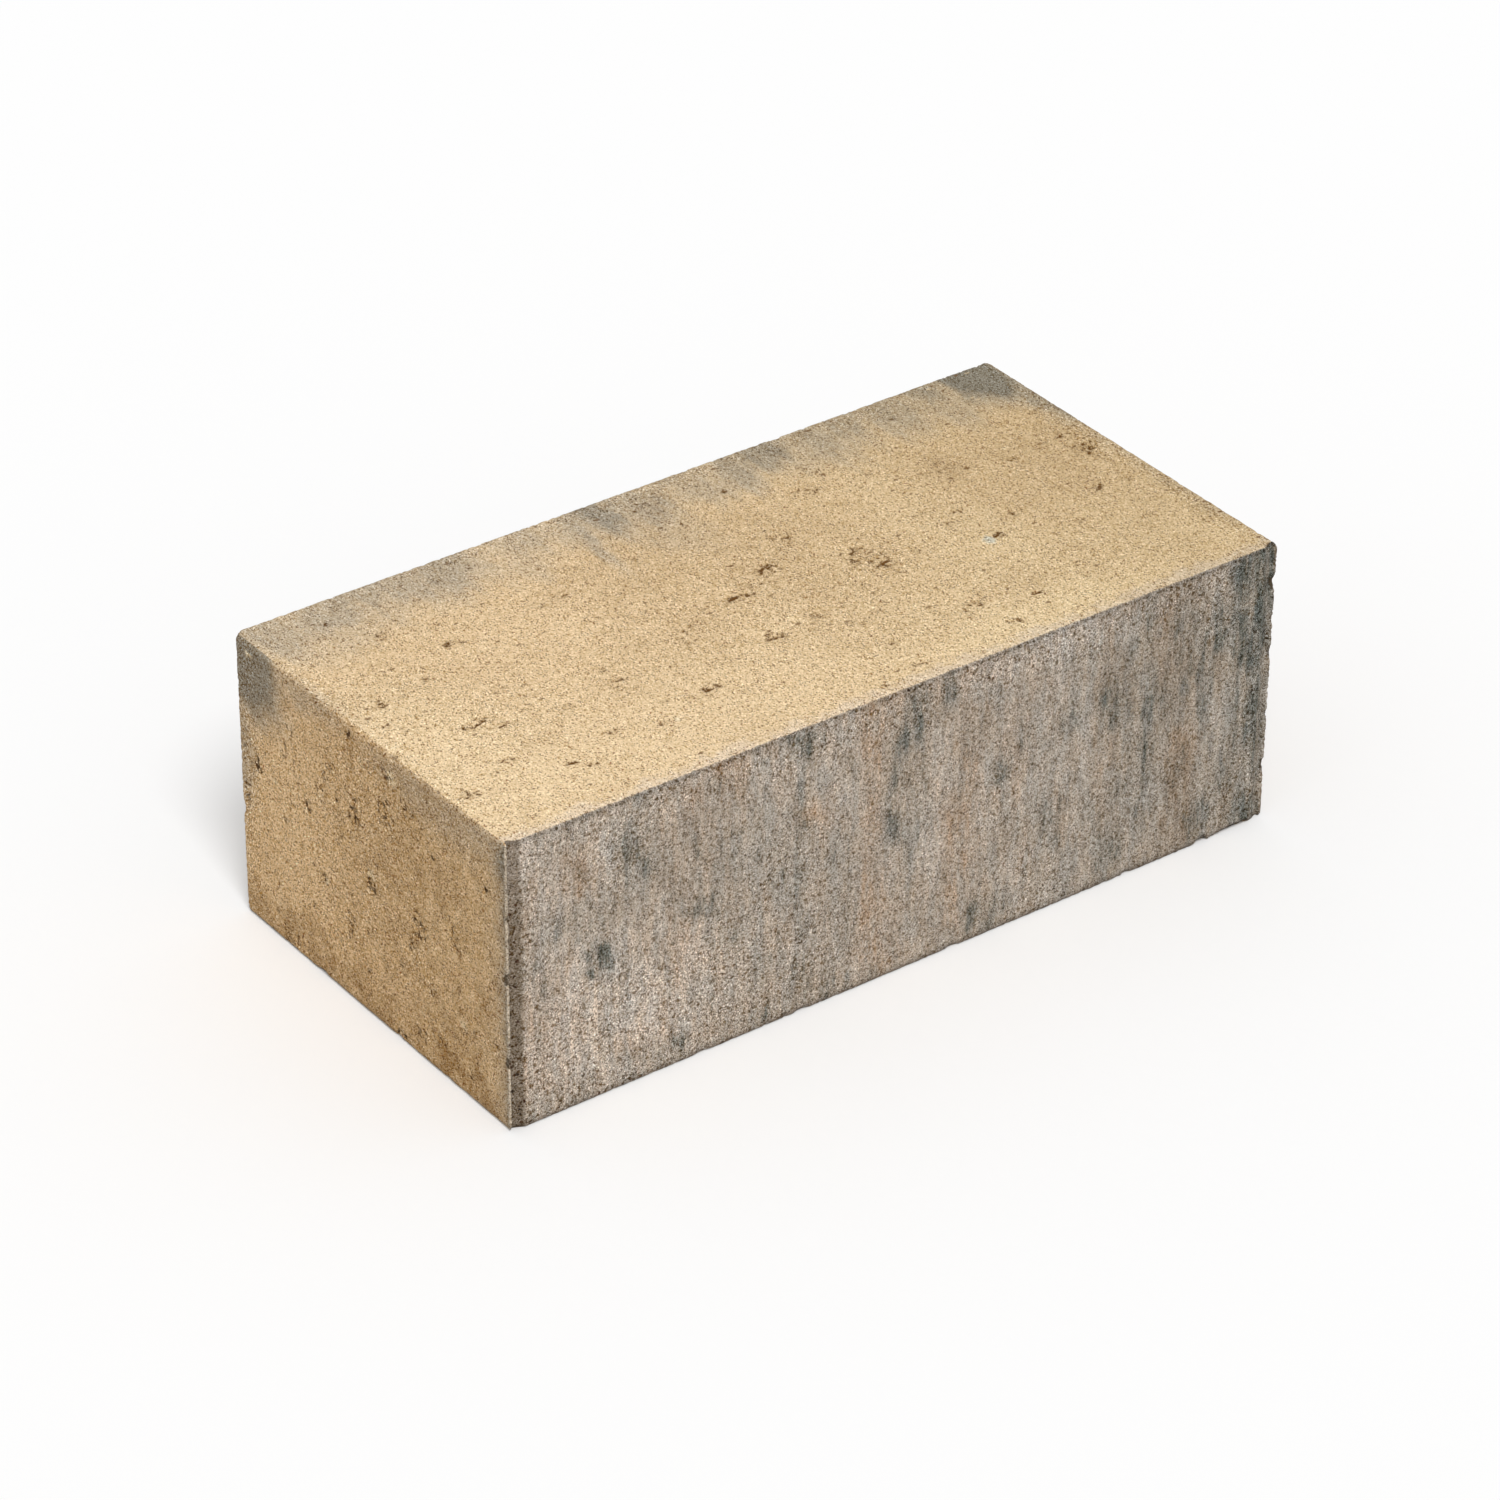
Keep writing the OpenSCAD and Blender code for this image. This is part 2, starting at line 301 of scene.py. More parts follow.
# Chips out of the edges: place in the block's own frame, half sizes, and depth
CHIPS = (
    (137, -75, 0, 10, 2, 2, 0.9), (124, -75, 0, 3, 2, 2, 1.4), (142, -75, 0, 2, 2, 2, 1.4),
    (92, -75, 0, 2, 2, 2, 0.6), (-40, -75, 0, 3, 2, 2, 0.5), (-78, -75, 0, 3, 2, 2, 0.4),
    (20, -75, 0, 3, 2, 2, 0.5), (150, -75, 90, 3, 3, 3, 1.2), (150, -75, 63, 2, 2, 3, 0.8),
    (150, -75, 20, 2, 2, 3, 0.9), (150, -75, 76, 2, 2, 2, 0.6), (150, -75, 40, 2, 2, 2, 0.6),
    (148, -75, 105, 3, 3, 3, 0.9), (-150, -75, 56, 2, 2, 3, 1.0), (-150, -75, 26, 2, 2, 3, 0.9),
    (-150, -75, 78, 2, 2, 2, 0.6), (-150, -75, 0, 2, 2, 2, 0.7), (-150, -14, 105, 2, 2, 2, 0.5),
    (-150, -38, 105, 2, 2, 1, 0.4), (-150, 75, 105, 2, 2, 2, 0.6), (-150, 75, 40, 2, 2, 3, 0.6),
    (-150, 30, 0, 2, 3, 2, 0.5), (-60, 75, 0, 4, 3, 3, 1.2), (60, 75, 105, 2, 2, 2, 0.4),
    (92, 75, 105, 2, 1, 1, 0.4), (20, 75, 105, 2, 1, 1, 0.4), (-80, 75, 105, 2, 1, 1, 0.3),
    (150, 40, 105, 1, 2, 1, 0.5), (150, 0, 105, 1, 2, 1, 0.4), (150, -50, 105, 1, 2, 1, 0.5),
    (150, 75, 105, 2, 2, 2, 0.6), (150, 20, 0, 3, 5, 3, 1.0), (110, 75, 0, 4, 3, 3, 0.9),
)


class WallBlockShape(bpy.types.PropertyGroup):
    """Sizes of the block's edges and of its relief"""

    bevel_width: FloatProperty(
        name="Bevel width", description="Width of the bevel on the facing",
        default=0.0055, precision=4, **LENGTH)
    bevel_drop: FloatProperty(
        name="Bevel drop", description="Depth of the bevel at the root of the fin",
        default=0.002, precision=4, **LENGTH)
    fin_tip: FloatProperty(
        name="Fin tip", description="Thickness of a fin at its tip",
        default=0.0006, precision=4, **LENGTH)
    fin_root: FloatProperty(
        name="Fin root", description="Thickness of a fin at its root",
        default=0.0013, precision=4, **LENGTH)
    fin_gap: FloatProperty(
        name="Fin gap", description="Distance from the facing back to a fin's tip",
        default=0.0003, precision=4, **LENGTH)
    fin_wear: FloatProperty(
        name="Fin wear", description="How much of the right fin has worn away",
        default=0.0005, precision=4, **LENGTH)
    mould_radius: FloatProperty(
        name="Mould radius", description="Radius of the edges from facing to rear",
        default=0.002, precision=4, **LENGTH)
    facing_radius: FloatProperty(
        name="Facing radius", description="Radius along the facing's long edges",
        default=0.001, precision=4, **LENGTH)
    rear_radius: FloatProperty(
        name="Rear radius", description="Radius round the rear face",
        default=0.0015, precision=4, **LENGTH)
    cell: FloatProperty(
        name="Cell", description="Size of a cell of the surface, away from the edges",
        default=0.0024, precision=4, **LENGTH)
    relief: FloatProperty(
        name="Relief", description="Depth of the even roughness of the faces",
        default=0.0002, precision=5, **LENGTH)
    crumble: FloatProperty(
        name="Crumble", description="How far the edges have crumbled",
        default=0.0009, precision=4, **LENGTH)
    seed: IntProperty(
        name="Seed", description="Arrangement of the scattered tears", default=7)
    drift_seed: IntProperty(
        name="Drift seed", description="How the streaks, smears and damp places wander",
        default=5, min=1)


class WallBlockColours(bpy.types.PropertyGroup):
    """Colours of the two mixes, of what marks them, and of the light and shade painted on them"""

    sand: FloatVectorProperty(
        name="Sand", description="Paste and sand of the body mix",
        default=(0.75, 0.558, 0.335, 1), **COLOUR_VALUE)
    # Brown sand also carries the painted shade along the foot of the ends
    sand_brown: FloatVectorProperty(
        name="Brown sand", description="Damper, browner places of the body mix",
        default=(0.40, 0.265, 0.13, 1), **COLOUR_VALUE)
    # Pale sand is also the painted light that makes the body mix paler towards the facing
    sand_pale: FloatVectorProperty(
        name="Pale sand", description="Paler skin of the bed behind the facing",
        default=(0.875, 0.685, 0.43, 1), **COLOUR_VALUE)
    pore: FloatVectorProperty(
        name="Facing pore", description="Shaded pores of the facing mix",
        default=(0.078, 0.056, 0.032, 1), **COLOUR_VALUE)
    body_pore: FloatVectorProperty(
        name="Body pore", description="Shaded pores and tears of the body mix",
        default=(0.15, 0.066, 0.014, 1), **COLOUR_VALUE)
    rear_grey: FloatVectorProperty(
        name="Rear grey", description="Grey smears near the rear face",
        default=(0.272, 0.25, 0.205, 1), **COLOUR_VALUE)
    rear_pale: FloatVectorProperty(
        name="Pale rear grey", description="Thin grey smears near the rear face",
        default=(0.42, 0.38, 0.315, 1), **COLOUR_VALUE)
    stone: FloatVectorProperty(
        name="Stone", description="Stones that show in the body mix",
        default=(0.68, 0.66, 0.57, 1), **COLOUR_VALUE)
    facing: FloatVectorProperty(
        name="Facing", description="Paste and sand of the facing mix",
        default=(0.502, 0.422, 0.342, 1), **COLOUR_VALUE)
    cream: FloatVectorProperty(
        name="Cream pigment", description="Pale streaks of the facing",
        default=(0.735, 0.63, 0.535, 1), **COLOUR_VALUE)
    slate: FloatVectorProperty(
        name="Slate pigment", description="Dark streaks of the facing",
        default=(0.151, 0.159, 0.139, 1), **COLOUR_VALUE)
    rust: FloatVectorProperty(
        name="Rust pigment", description="Warm streaks of the facing",
        default=(0.55, 0.375, 0.245, 1), **COLOUR_VALUE)
    # The bevel colour is painted shade on the left bevel
    bevel: FloatVectorProperty(
        name="Bevel", description="Dark skin that the press plate left on the left bevel",
        default=(0.205, 0.158, 0.112, 1), **COLOUR_VALUE)
    # The fin colour is a painted highlight along the tip of the left fin
    fin: FloatVectorProperty(
        name="Fin", description="Rubbed tip of the left fin",
        default=(0.66, 0.55, 0.42, 1), **COLOUR_VALUE)


class WallBlockStage(bpy.types.PropertyGroup):
    """Floor, light and camera"""

    floor: FloatVectorProperty(
        name="Floor", description="Colour of the floor and backdrop as seen",
        default=(0.99, 0.99, 0.99, 1), **COLOUR_VALUE)
    bounce: FloatVectorProperty(
        name="Bounce", description="Colour of the light that the floor throws back",
        default=(0.42, 0.42, 0.42, 1), **COLOUR_VALUE)
    sky: FloatProperty(
        name="Sky", description="Level of the even light from all round", default=0.5)
    key: FloatProperty(
        name="Key", description="Strength of the main lamp", default=2.0)
    key_softness: FloatProperty(
        name="Key softness", description="Width of the main lamp as the block sees it",
        default=math.radians(24), **ANGLE)
    key_azimuth: FloatProperty(
        name="Key azimuth", description="Where the main lamp stands, from the facing to the right",
        default=math.radians(-26), **ANGLE)
    key_elevation: FloatProperty(
        name="Key elevation", description="Height of the main lamp above the horizon",
        default=math.radians(52), **ANGLE)
    azimuth: FloatProperty(
        name="Camera azimuth", description="Where the camera stands, from the facing to the right",
        default=math.radians(-36.67), **ANGLE)
    elevation: FloatProperty(
        name="Camera elevation", description="Height of the camera above the horizon",
        default=math.radians(32.54), **ANGLE)
    roll: FloatProperty(
        name="Camera roll", description="Turn of the camera about its line of sight",
        default=math.radians(0.44), **ANGLE)
    distance: FloatProperty(
        name="Camera distance", description="From the camera to the point it looks at",
        default=1.871, **LENGTH)
    aim: FloatVectorProperty(
        name="Camera aim", description="Point that the camera looks at",
        default=(-0.0054, -0.0008, 0.046), subtype="XYZ", unit="LENGTH")
    lens: FloatProperty(
        name="Lens", description="Focal length in millimetres on a 36 mm sensor", default=140.0)


# ---------------------------------------------------------------- shape


def stations(low, high, near, far, cell):
    """Grid lines from low to high: those near each end, and even cells between them"""
    start, stop = low + near[-1], high - far[-1]
    count = math.ceil((stop - start) / cell)
    inner = [start + (stop - start) * i / count for i in range(1, count)]
    return [low + d for d in near] + inner + [high - d for d in reversed(far)]


def gridded_box(lines):
    """A box whose faces are cut along the given grid lines of each axis"""
    bm = bmesh.new()
    bmesh.ops.create_cube(bm, size=1.0)
    for axis, marks in enumerate(lines):
        along = [e for e in bm.edges if abs(e.verts[0].co[axis] - e.verts[1].co[axis]) > 0.5]
        bmesh.ops.subdivide_edges(bm, edges=along, cuts=len(marks) - 2, use_grid_fill=True)
    for v in bm.verts:
        v.co = [marks[round((v.co[a] + 0.5) * (len(marks) - 1))] for a, marks in enumerate(lines)]
    return bm


def halve(bm, longest, wanted):
    """Halves the edges of the mesh longer than a length, where they are wanted"""
    edges = [
        e for e in bm.edges
        if e.calc_length() > longest and wanted((e.verts[0].co + e.verts[1].co) / 2)
    ]
    bmesh.ops.subdivide_edges(bm, edges=edges, cuts=1, use_grid_fill=True)


def edge_distance(co):
    """Distance from a point on the surface to the nearest edge of the block"""
    return sorted(min(co[a] - LOW[a], HIGH[a] - co[a]) for a in range(3))[1]


def round_edge(co, a, b, side_a, side_b, radius):
    """Moves a point of the box onto the round edge where two of its sides meet"""
    middle_a = (HIGH if side_a > 0 else LOW)[a] - side_a * radius
    middle_b = (HIGH if side_b > 0 else LOW)[b] - side_b * radius
    out_a, out_b = side_a * (co[a] - middle_a), side_b * (co[b] - middle_b)
    if min(out_a, out_b) <= 0:
        return
    # A point of the square corner goes to the point of the arc at its own angle
    reach = max(out_a, out_b) / math.hypot(out_a, out_b)
    co[a] = middle_a + side_a * out_a * reach
    co[b] = middle_b + side_b * out_b * reach


def facing_depth(shape, from_end, fin_gap):
    """How far the pressed facing lies behind its plane, at a distance from an end face"""
    if from_end <= shape.fin_tip:
        return fin_gap
    if from_end <= shape.fin_root:
        share = (from_end - shape.fin_tip) / (shape.fin_root - shape.fin_tip)
        return fin_gap + share * (shape.bevel_drop - fin_gap)
    share = (shape.bevel_width - from_end) / (shape.bevel_width - shape.fin_root)
    return shape.bevel_drop * max(share, 0)


def press_facing(shape, co):
    """Pushes the facing back over the bevels and fins, and closes up the beds behind it"""
    reach = 4 * shape.bevel_drop
    behind = co[1] - LOW[1]
    if behind < reach:
        worn = shape.fin_wear if co[0] > 0 else 0.0
        depth = facing_depth(shape, min(co[0] - LOW[0], HIGH[0] - co[0]), shape.fin_gap + worn)
        co[1] = LOW[1] + depth + behind * (reach - depth) / reach


class Hollow:
    """A place where the surface has come away"""

    def __init__(self, place, half, depth, crumbs):
        self.place = Vector(place)
        self.half = Vector(half)
        self.depth = depth
        self.crumbs = crumbs
        self.reach = max(half)

    def share(self, co):
        """How far into the hollow a point is: 1 in the middle, 0 outside"""
        away = co - self.place
        distance = math.hypot(*(away[a] / self.half[a] for a in range(3)))
        ragged = RAGGEDNESS * noise.noise(co / OUTLINE_SIZE)
        return min(max(HOLLOW_END - distance - ragged, 0.0), 1.0)


def block_hollows(shape):
    """Every tear and chip of the block"""
    found = []
    for x, y, half_x, half_y, depth in BED_TEARS:
        place, half = (x * MM, y * MM, HIGH[2]), (half_x * MM, half_y * MM, TEAR_THROUGH)
        found.append(Hollow(place, half, depth * MM, True))
    for y, z, half_z, half_y, depth in END_TEARS:
        place, half = (LOW[0], HIGH[1] - y * MM, z * MM), (TEAR_THROUGH, half_y * MM, half_z * MM)
        found.append(Hollow(place, half, depth * MM, True))
    for x, y, z, half_x, half_y, half_z, depth in CHIPS:
        place, half = (x * MM, y * MM, z * MM), (half_x * MM, half_y * MM, half_z * MM)
        found.append(Hollow(place, half, depth * MM, False))
    rng = random.Random(shape.seed)
    for axis, side, count in SCATTERED_TEARS:
        for _ in range(count):
            place = [rng.uniform(LOW[a] + TEAR_MARGIN, HIGH[a] - TEAR_MARGIN) for a in range(3)]
            place[axis] = side[axis]
            width = rng.uniform(*TEAR_HALF_WIDTH) * MM
            half = [width * rng.uniform(*TEAR_STRETCH)] * 3
            half[1] = width
            half[axis] = TEAR_THROUGH
            found.append(Hollow(place, half, rng.uniform(*TEAR_DEPTH) * MM, True))
    return found


def shaped_block(shape, hollows):
    """The block's outline as a fine mesh: round edges, bevels and fins"""
    radius = shape.mould_radius
    fin = (0, shape.fin_tip / 2, shape.fin_tip, (shape.fin_tip + shape.fin_root) / 2, shape.fin_root)
    across = shape.bevel_width - shape.fin_root
    slope = [shape.fin_root + across * i / BEVEL_CELLS for i in range(1, BEVEL_CELLS + 1)]
    ends = [*fin, *slope, shape.bevel_width + 0.6 * shape.cell]
    edge = [radius * share for share in EDGE_LINES]
    bm = gridded_box((
        stations(LOW[0], HIGH[0], ends, ends, shape.cell),
        stations(LOW[1], HIGH[1], edge, edge, shape.cell),
        stations(LOW[2], HIGH[2], edge, edge, shape.cell),
    ))
    # Cells are halved near the edges, and halved again right beside them
    once, twice = 0.6 * shape.cell, 0.4 * shape.cell
    halve(bm, once, lambda co: edge_distance(co) < radius)
    halve(bm, twice, lambda co: edge_distance(co) < 0.4 * radius)
    tree = kdtree.KDTree(len(hollows))
    for index, hollow in enumerate(hollows):
        tree.insert(hollow.place, index)
    tree.balance()

    def torn(co):
        near = tree.find_range(co, HOLLOW_SEARCH)
        return any(hollows[index].share(co) > 0 for _, index, _ in near)

    halve(bm, once, torn)
    halve(bm, twice, torn)
    behind = bm.verts.layers.float.new("behind")
    for v in bm.verts:
        v[behind] = (v.co[1] - LOW[1]) / MM
        for side_x in (-1, 1):
            for side_z in (-1, 1):
                round_edge(v.co, 0, 2, side_x, side_z, radius)
            round_edge(v.co, 0, 1, side_x, 1, shape.rear_radius)
        for side_z in (-1, 1):
            round_edge(v.co, 1, 2, -1, side_z, shape.facing_radius)
            round_edge(v.co, 1, 2, 1, side_z, shape.rear_radius)
        press_facing(shape, v.co)
    bm.normal_update()
    return bm


def roughness_depth(shape, co):
    """Depth of the even roughness, with deeper bites along the edges"""
    rough = 0.5 + 0.5 * noise.fractal(co / LUMP_SIZE, 0.8, 2.1, 3)
    bites = 1.8 * noise.fractal(co / BITE_SIZE + Vector((9, 4, 2)), 0.6, 2.0, 3) - 0.1
    bites = min(max(0.0, bites), 1.0)
    near_edge = math.exp(-edge_distance(co) / BITE_FADE)
    from_worn = min(HIGH[1] - co[1], HIGH[0] - co[0])
    crumbly = 0.6 + 0.8 * math.exp(-from_worn / CRUMBLE_FADE)
    return shape.relief * max(rough, 0) + shape.crumble * crumbly * bites * near_edge


def carve(shape, bm, hollows):
    """Lowers the surface by its roughness, tears and chips, and marks how torn each point is"""
    layer = bm.verts.layers.float.new("torn")
    bm.verts.ensure_lookup_table()
    tree = kdtree.KDTree(len(bm.verts))
    for v in bm.verts:
        tree.insert(v.co, v.index)
    tree.balance()
    depths = [0.0] * len(bm.verts)
    for hollow in hollows:
        for co, index, _ in tree.find_range(hollow.place, HOLLOW_SPREAD * hollow.reach):
            share = hollow.share(co)
            if share <= 0:
                continue
            depth = hollow.depth * min(HOLLOW_STEEPNESS * share, 1.0)
            if hollow.crumbs:
                drawn = Vector((co[0] / CRUMB_STRETCH, co[1], co[2] / CRUMB_STRETCH)) / CRUMB_SIZE
                depth *= min(max(0.2 + 1.6 * noise.fractal(drawn, 0.7, 2.0, 2), 0.05), 1.2)
            depths[index] = max(depths[index], depth)
    moved = []
    for v in bm.verts:
        v[layer] = depths[v.index] / MM
        # A fin crumbles back from its tip, and everything else inwards
        from_end = min(v.co[0] - LOW[0], HIGH[0] - v.co[0])
        on_fin = from_end < shape.fin_root and v.co[1] < LOW[1] + shape.bevel_drop
        inwards = Vector((0, 1, 0)) if on_fin else -v.normal
        moved.append(v.co + inwards * (depths[v.index] + roughness_depth(shape, v.co)))
    for v, co in zip(bm.verts, moved):
        v.co = [min(max(co[a], LOW[a]), HIGH[a]) for a in range(3)]


# ---------------------------------------------------------------- marks on the surface


def soft_step(value):
    """0 below 0, 1 above 1, and smooth between them"""
    value = min(max(value, 0.0), 1.0)
    return value * value * (3 - 2 * value)


def drift(co, size, reach):
    """How far the marks wander at a point, along each axis: all but the point in millimetres"""
    return noise.noise_vector(co / (size * MM)) * reach


def strongest_patch(rows, across, up):
    """The strongest of several soft patches at a place on a face, all in millimetres"""
    best = 0.0
    for place_a, place_b, half_a, half_b, strength in rows:
        reach = math.hypot((across - place_a) / half_a, (up - place_b) / half_b)
        if reach < PATCH_END:
            here = strength * soft_step(PATCH_END - reach)
            best = here if abs(here) > abs(best) else best
    return best


def strongest_streak(rows, across, up):
    """The strongest of the facing's leaning streaks at a place on it, all in millimetres"""
    best = 0.0
    for place_a, place_b, half_a, half_b, lean, strength in rows:
        above = (up - place_b) / half_b
        reach = math.hypot((across - place_a + lean * above) / half_a, above)
        if reach < PATCH_END:
            best = max(best, strength * soft_step(PATCH_END - reach))
    return best


def mark_facing(bm):
    """Pigment streaks of the facing, kept as three attributes"""
    tables = (("slate", SLATE_STREAKS), ("rust", RUST_STREAKS), ("cream", CREAM_STREAKS))
    layers = [(bm.verts.layers.float.new(name), rows) for name, rows in tables]
    for v in bm.verts:
        if v.co[1] > LOW[1] + PIGMENT_DEPTH:
            continue
        wide, narrow = drift(v.co, 11, 3.5), drift(v.co, 4, 1.6)
        across = (v.co[0] - LOW[0]) / MM + wide[0] + narrow[0]
        up = v.co[2] / MM + 1.6 * (wide[2] + narrow[2])
        for layer, rows in layers:
            v[layer] = strongest_streak(rows, across, up)


def mark_rear(bm):
    """Grey smears and damp places of the beds, ends and rear face, with painted shade along the foot
    of the ends, kept as two attributes
    """
    layer = bm.verts.layers.float.new("smear")
    damp_and_shade = bm.verts.layers.float.new("damp_and_shade")
    for v in bm.verts:
        wander = drift(v.co, 9, 3.0)
        from_rear = (HIGH[1] - v.co[1]) / MM
        if v.normal[1] > ON_FACE:
            v[layer] = 0.5 + 0.5 * noise.fractal(v.co / (REAR_CLOUDS * MM), 0.55, 2.0, 5)
        elif abs(v.normal[2]) > ON_FACE:
            along = v.co[0] / MM * (1 if v.normal[2] > 0 else -1)
            drawn = 7 * noise.fractal(Vector((along / 7, 0.4, 0.8)), 0.6, 2.0, 3)
            v[layer] = strongest_patch(REAR_SMEARS, along + wander[0], from_rear + wander[1] + drawn)
            v[damp_and_shade] = strongest_patch(BED_DAMP, along + 2 * wander[0], v.co[1] / MM + 2 * wander[1])
        elif abs(v.normal[0]) > ON_FACE:
            rows = LEFT_STAINS if v.normal[0] < 0 else RIGHT_STAINS
            up, behind = v.co[2] / MM, (v.co[1] - LOW[1]) / MM
            grey = (1.0 + 0.1 * wander[2]) * math.exp(-behind / GREY_STRIP)
            v[layer] = strongest_patch(rows, from_rear + wander[1], up + wander[2]) + grey
            wet = (2.2 + 0.25 * wander[2]) * math.exp(-behind / DAMP_STRIP)
            # The ends' table holds painted shade along their foot, as well as damp places
            v[damp_and_shade] = strongest_patch(END_DAMP_AND_SHADE, from_rear + 2 * wander[1], up + 2 * wander[2])
            v[damp_and_shade] = max(v[damp_and_shade], wet)


def mark_open(bm):
    """How open the surface is, and the stones that show in it, kept as two attributes"""
    layer = bm.verts.layers.float.new("open")
    stone = bm.verts.layers.float.new("stone")
    for v in bm.verts:
        x, y, z = v.co / MM
        from_left, from_rear = x - LOW[0] / MM, HIGH[1] / MM - y
        wander = drift(v.co, 12, 5) + drift(v.co, 3, 2)
        if abs(v.normal[2]) > ON_FACE:
            v[layer] = strongest_patch(OPEN_BED, x + wander[0], y + wander[1])
        elif abs(v.normal[0]) > ON_FACE:
            v[layer] = strongest_patch(OPEN_END, from_rear + wander[1], z + wander[2])
        elif v.normal[1] < 0:
            v[layer] = strongest_patch(OPEN_FACING, from_left + wander[0], z + wander[2])
        else:
            v[layer] = 0.4 + wander[0] / 12
        if v.normal[2] > ON_FACE:
            v[stone] = strongest_patch(BED_STONES, x, y)
        elif v.normal[0] < -ON_FACE:
            v[stone] = strongest_patch(END_STONES, from_rear, z)


# ---------------------------------------------------------------- node helpers


# How the nodes are set out in the node editor
NODES_ABREAST, NODE_WIDTH, NODE_HEIGHT = 9, 220, 260


def put(tree, socket, value):
    """Links a socket to another one, or sets its value"""
    if isinstance(value, bpy.types.NodeSocket):
        tree.links.new(value, socket)
    else:
        socket.default_value = value


def add(tree, kind, inputs=None, **settings):
    """A node of the given kind, with its settings, and its inputs set or linked"""
    made = tree.nodes.new(kind)
    row, column = divmod(len(tree.nodes), NODES_ABREAST)
    made.location = (NODE_WIDTH * column, -NODE_HEIGHT * row)
    for name, value in settings.items():
        setattr(made, name, value)
    for name, value in (inputs or {}).items():
        put(tree, made.inputs[name], value)
    return made


def calc(tree, operation, a, b=0.0):
    """One operation on two values"""
    return add(tree, "ShaderNodeMath", {0: a, 1: b}, operation=operation).outputs[0]


def plus(tree, a, b):
    """The sum of two values"""
    return calc(tree, "ADD", a, b)


def minus(tree, a, b):
    """A value less another one"""
    return calc(tree, "SUBTRACT", a, b)


def times(tree, a, b):
    """The product of two values"""
    return calc(tree, "MULTIPLY", a, b)


def calc_vector(tree, operation, a, b):
    """One operation on two vectors or colours"""
    return add(tree, "ShaderNodeVectorMath", {0: a, 1: b}, operation=operation).outputs[0]


def multiplied(tree, a, b):
    """A vector or colour multiplied by another one, axis by axis"""
    return calc_vector(tree, "MULTIPLY", a, b)


def shifted(tree, a, b):
    """The sum of two vectors or colours"""
    return calc_vector(tree, "ADD", a, b)


def scaled(tree, vector, factor):
    """A vector or colour made longer or brighter by a factor"""
    inputs = {0: vector, "Scale": factor}
    return add(tree, "ShaderNodeVectorMath", inputs, operation="SCALE").outputs[0]


def ramp(tree, value, low, high, to_low=0.0, to_high=1.0):
    """A smooth step of a value between two levels"""
    return add(
        tree, "ShaderNodeMapRange",
        {"Value": value, "From Min": low, "From Max": high, "To Min": to_low, "To Max": to_high},
        interpolation_type="SMOOTHSTEP").outputs["Result"]


def blend(tree, share, a, b, how="MIX"):
    """A mix of two colours"""
    made = add(tree, "ShaderNodeMix", data_type="RGBA", blend_type=how)
    put(tree, made.inputs[0], share)
    put(tree, made.inputs[6], a)
    put(tree, made.inputs[7], b)
    return made.outputs[2]


def between(tree, share, a, b):
    """A value between two others"""
    return add(tree, "ShaderNodeMix", {0: share, 2: a, 3: b}).outputs[0]


def cloud(tree, vector, size, detail=2.0, roughness=0.5):
    """Soft noise whose blotches are about the given size. A shifted vector gives another one"""
    inputs = {"Vector": vector, "Scale": 1.0 / size, "Detail": detail, "Roughness": roughness}
    return add(tree, "ShaderNodeTexNoise", inputs).outputs["Fac"]


def new_group(name, inputs, outputs):
    """A shader node group with named sockets, and its input and output nodes"""
    tree = bpy.data.node_groups.new(name, "ShaderNodeTree")
    for socket, kind in inputs:
        tree.interface.new_socket(name=socket, in_out="INPUT", socket_type=kind)
    for socket, kind in outputs:
        tree.interface.new_socket(name=socket, in_out="OUTPUT", socket_type=kind)
    return tree, add(tree, "NodeGroupInput").outputs, add(tree, "NodeGroupOutput").inputs


def place_group(tree, group, inputs):
    """Places a node group and sets its inputs"""
    made = add(tree, "ShaderNodeGroup", node_tree=group)
    for name, value in inputs.items():
        put(tree, made.inputs[name], value)
    return made.outputs


VECTOR, FLOAT, COLOUR = "NodeSocketVector", "NodeSocketFloat", "NodeSocketColor"


# ---------------------------------------------------------------- concrete


def ragged_cells(tree, vector, size, finer, detail, sway):
    """Cells of a size, with borders that wander by a share of it: the distance from each
    cell's middle, and three random values of its own"""
    scale = calc(tree, "DIVIDE", 1.0, size)
    inputs = {"Vector": vector, "Scale": times(tree, scale, finer), "Detail": detail}
    bend = add(tree, "ShaderNodeTexNoise", inputs).outputs["Color"]
    bend = calc_vector(tree, "SUBTRACT", bend, (0.5, 0.5, 0.5))
    vector = shifted(tree, vector, scaled(tree, bend, times(tree, size, sway)))
    cells = add(tree, "ShaderNodeTexVoronoi", {"Vector": vector, "Scale": scale}).outputs
    own = add(tree, "ShaderNodeSeparateColor", {0: cells["Color"]}).outputs
    return cells["Distance"], own


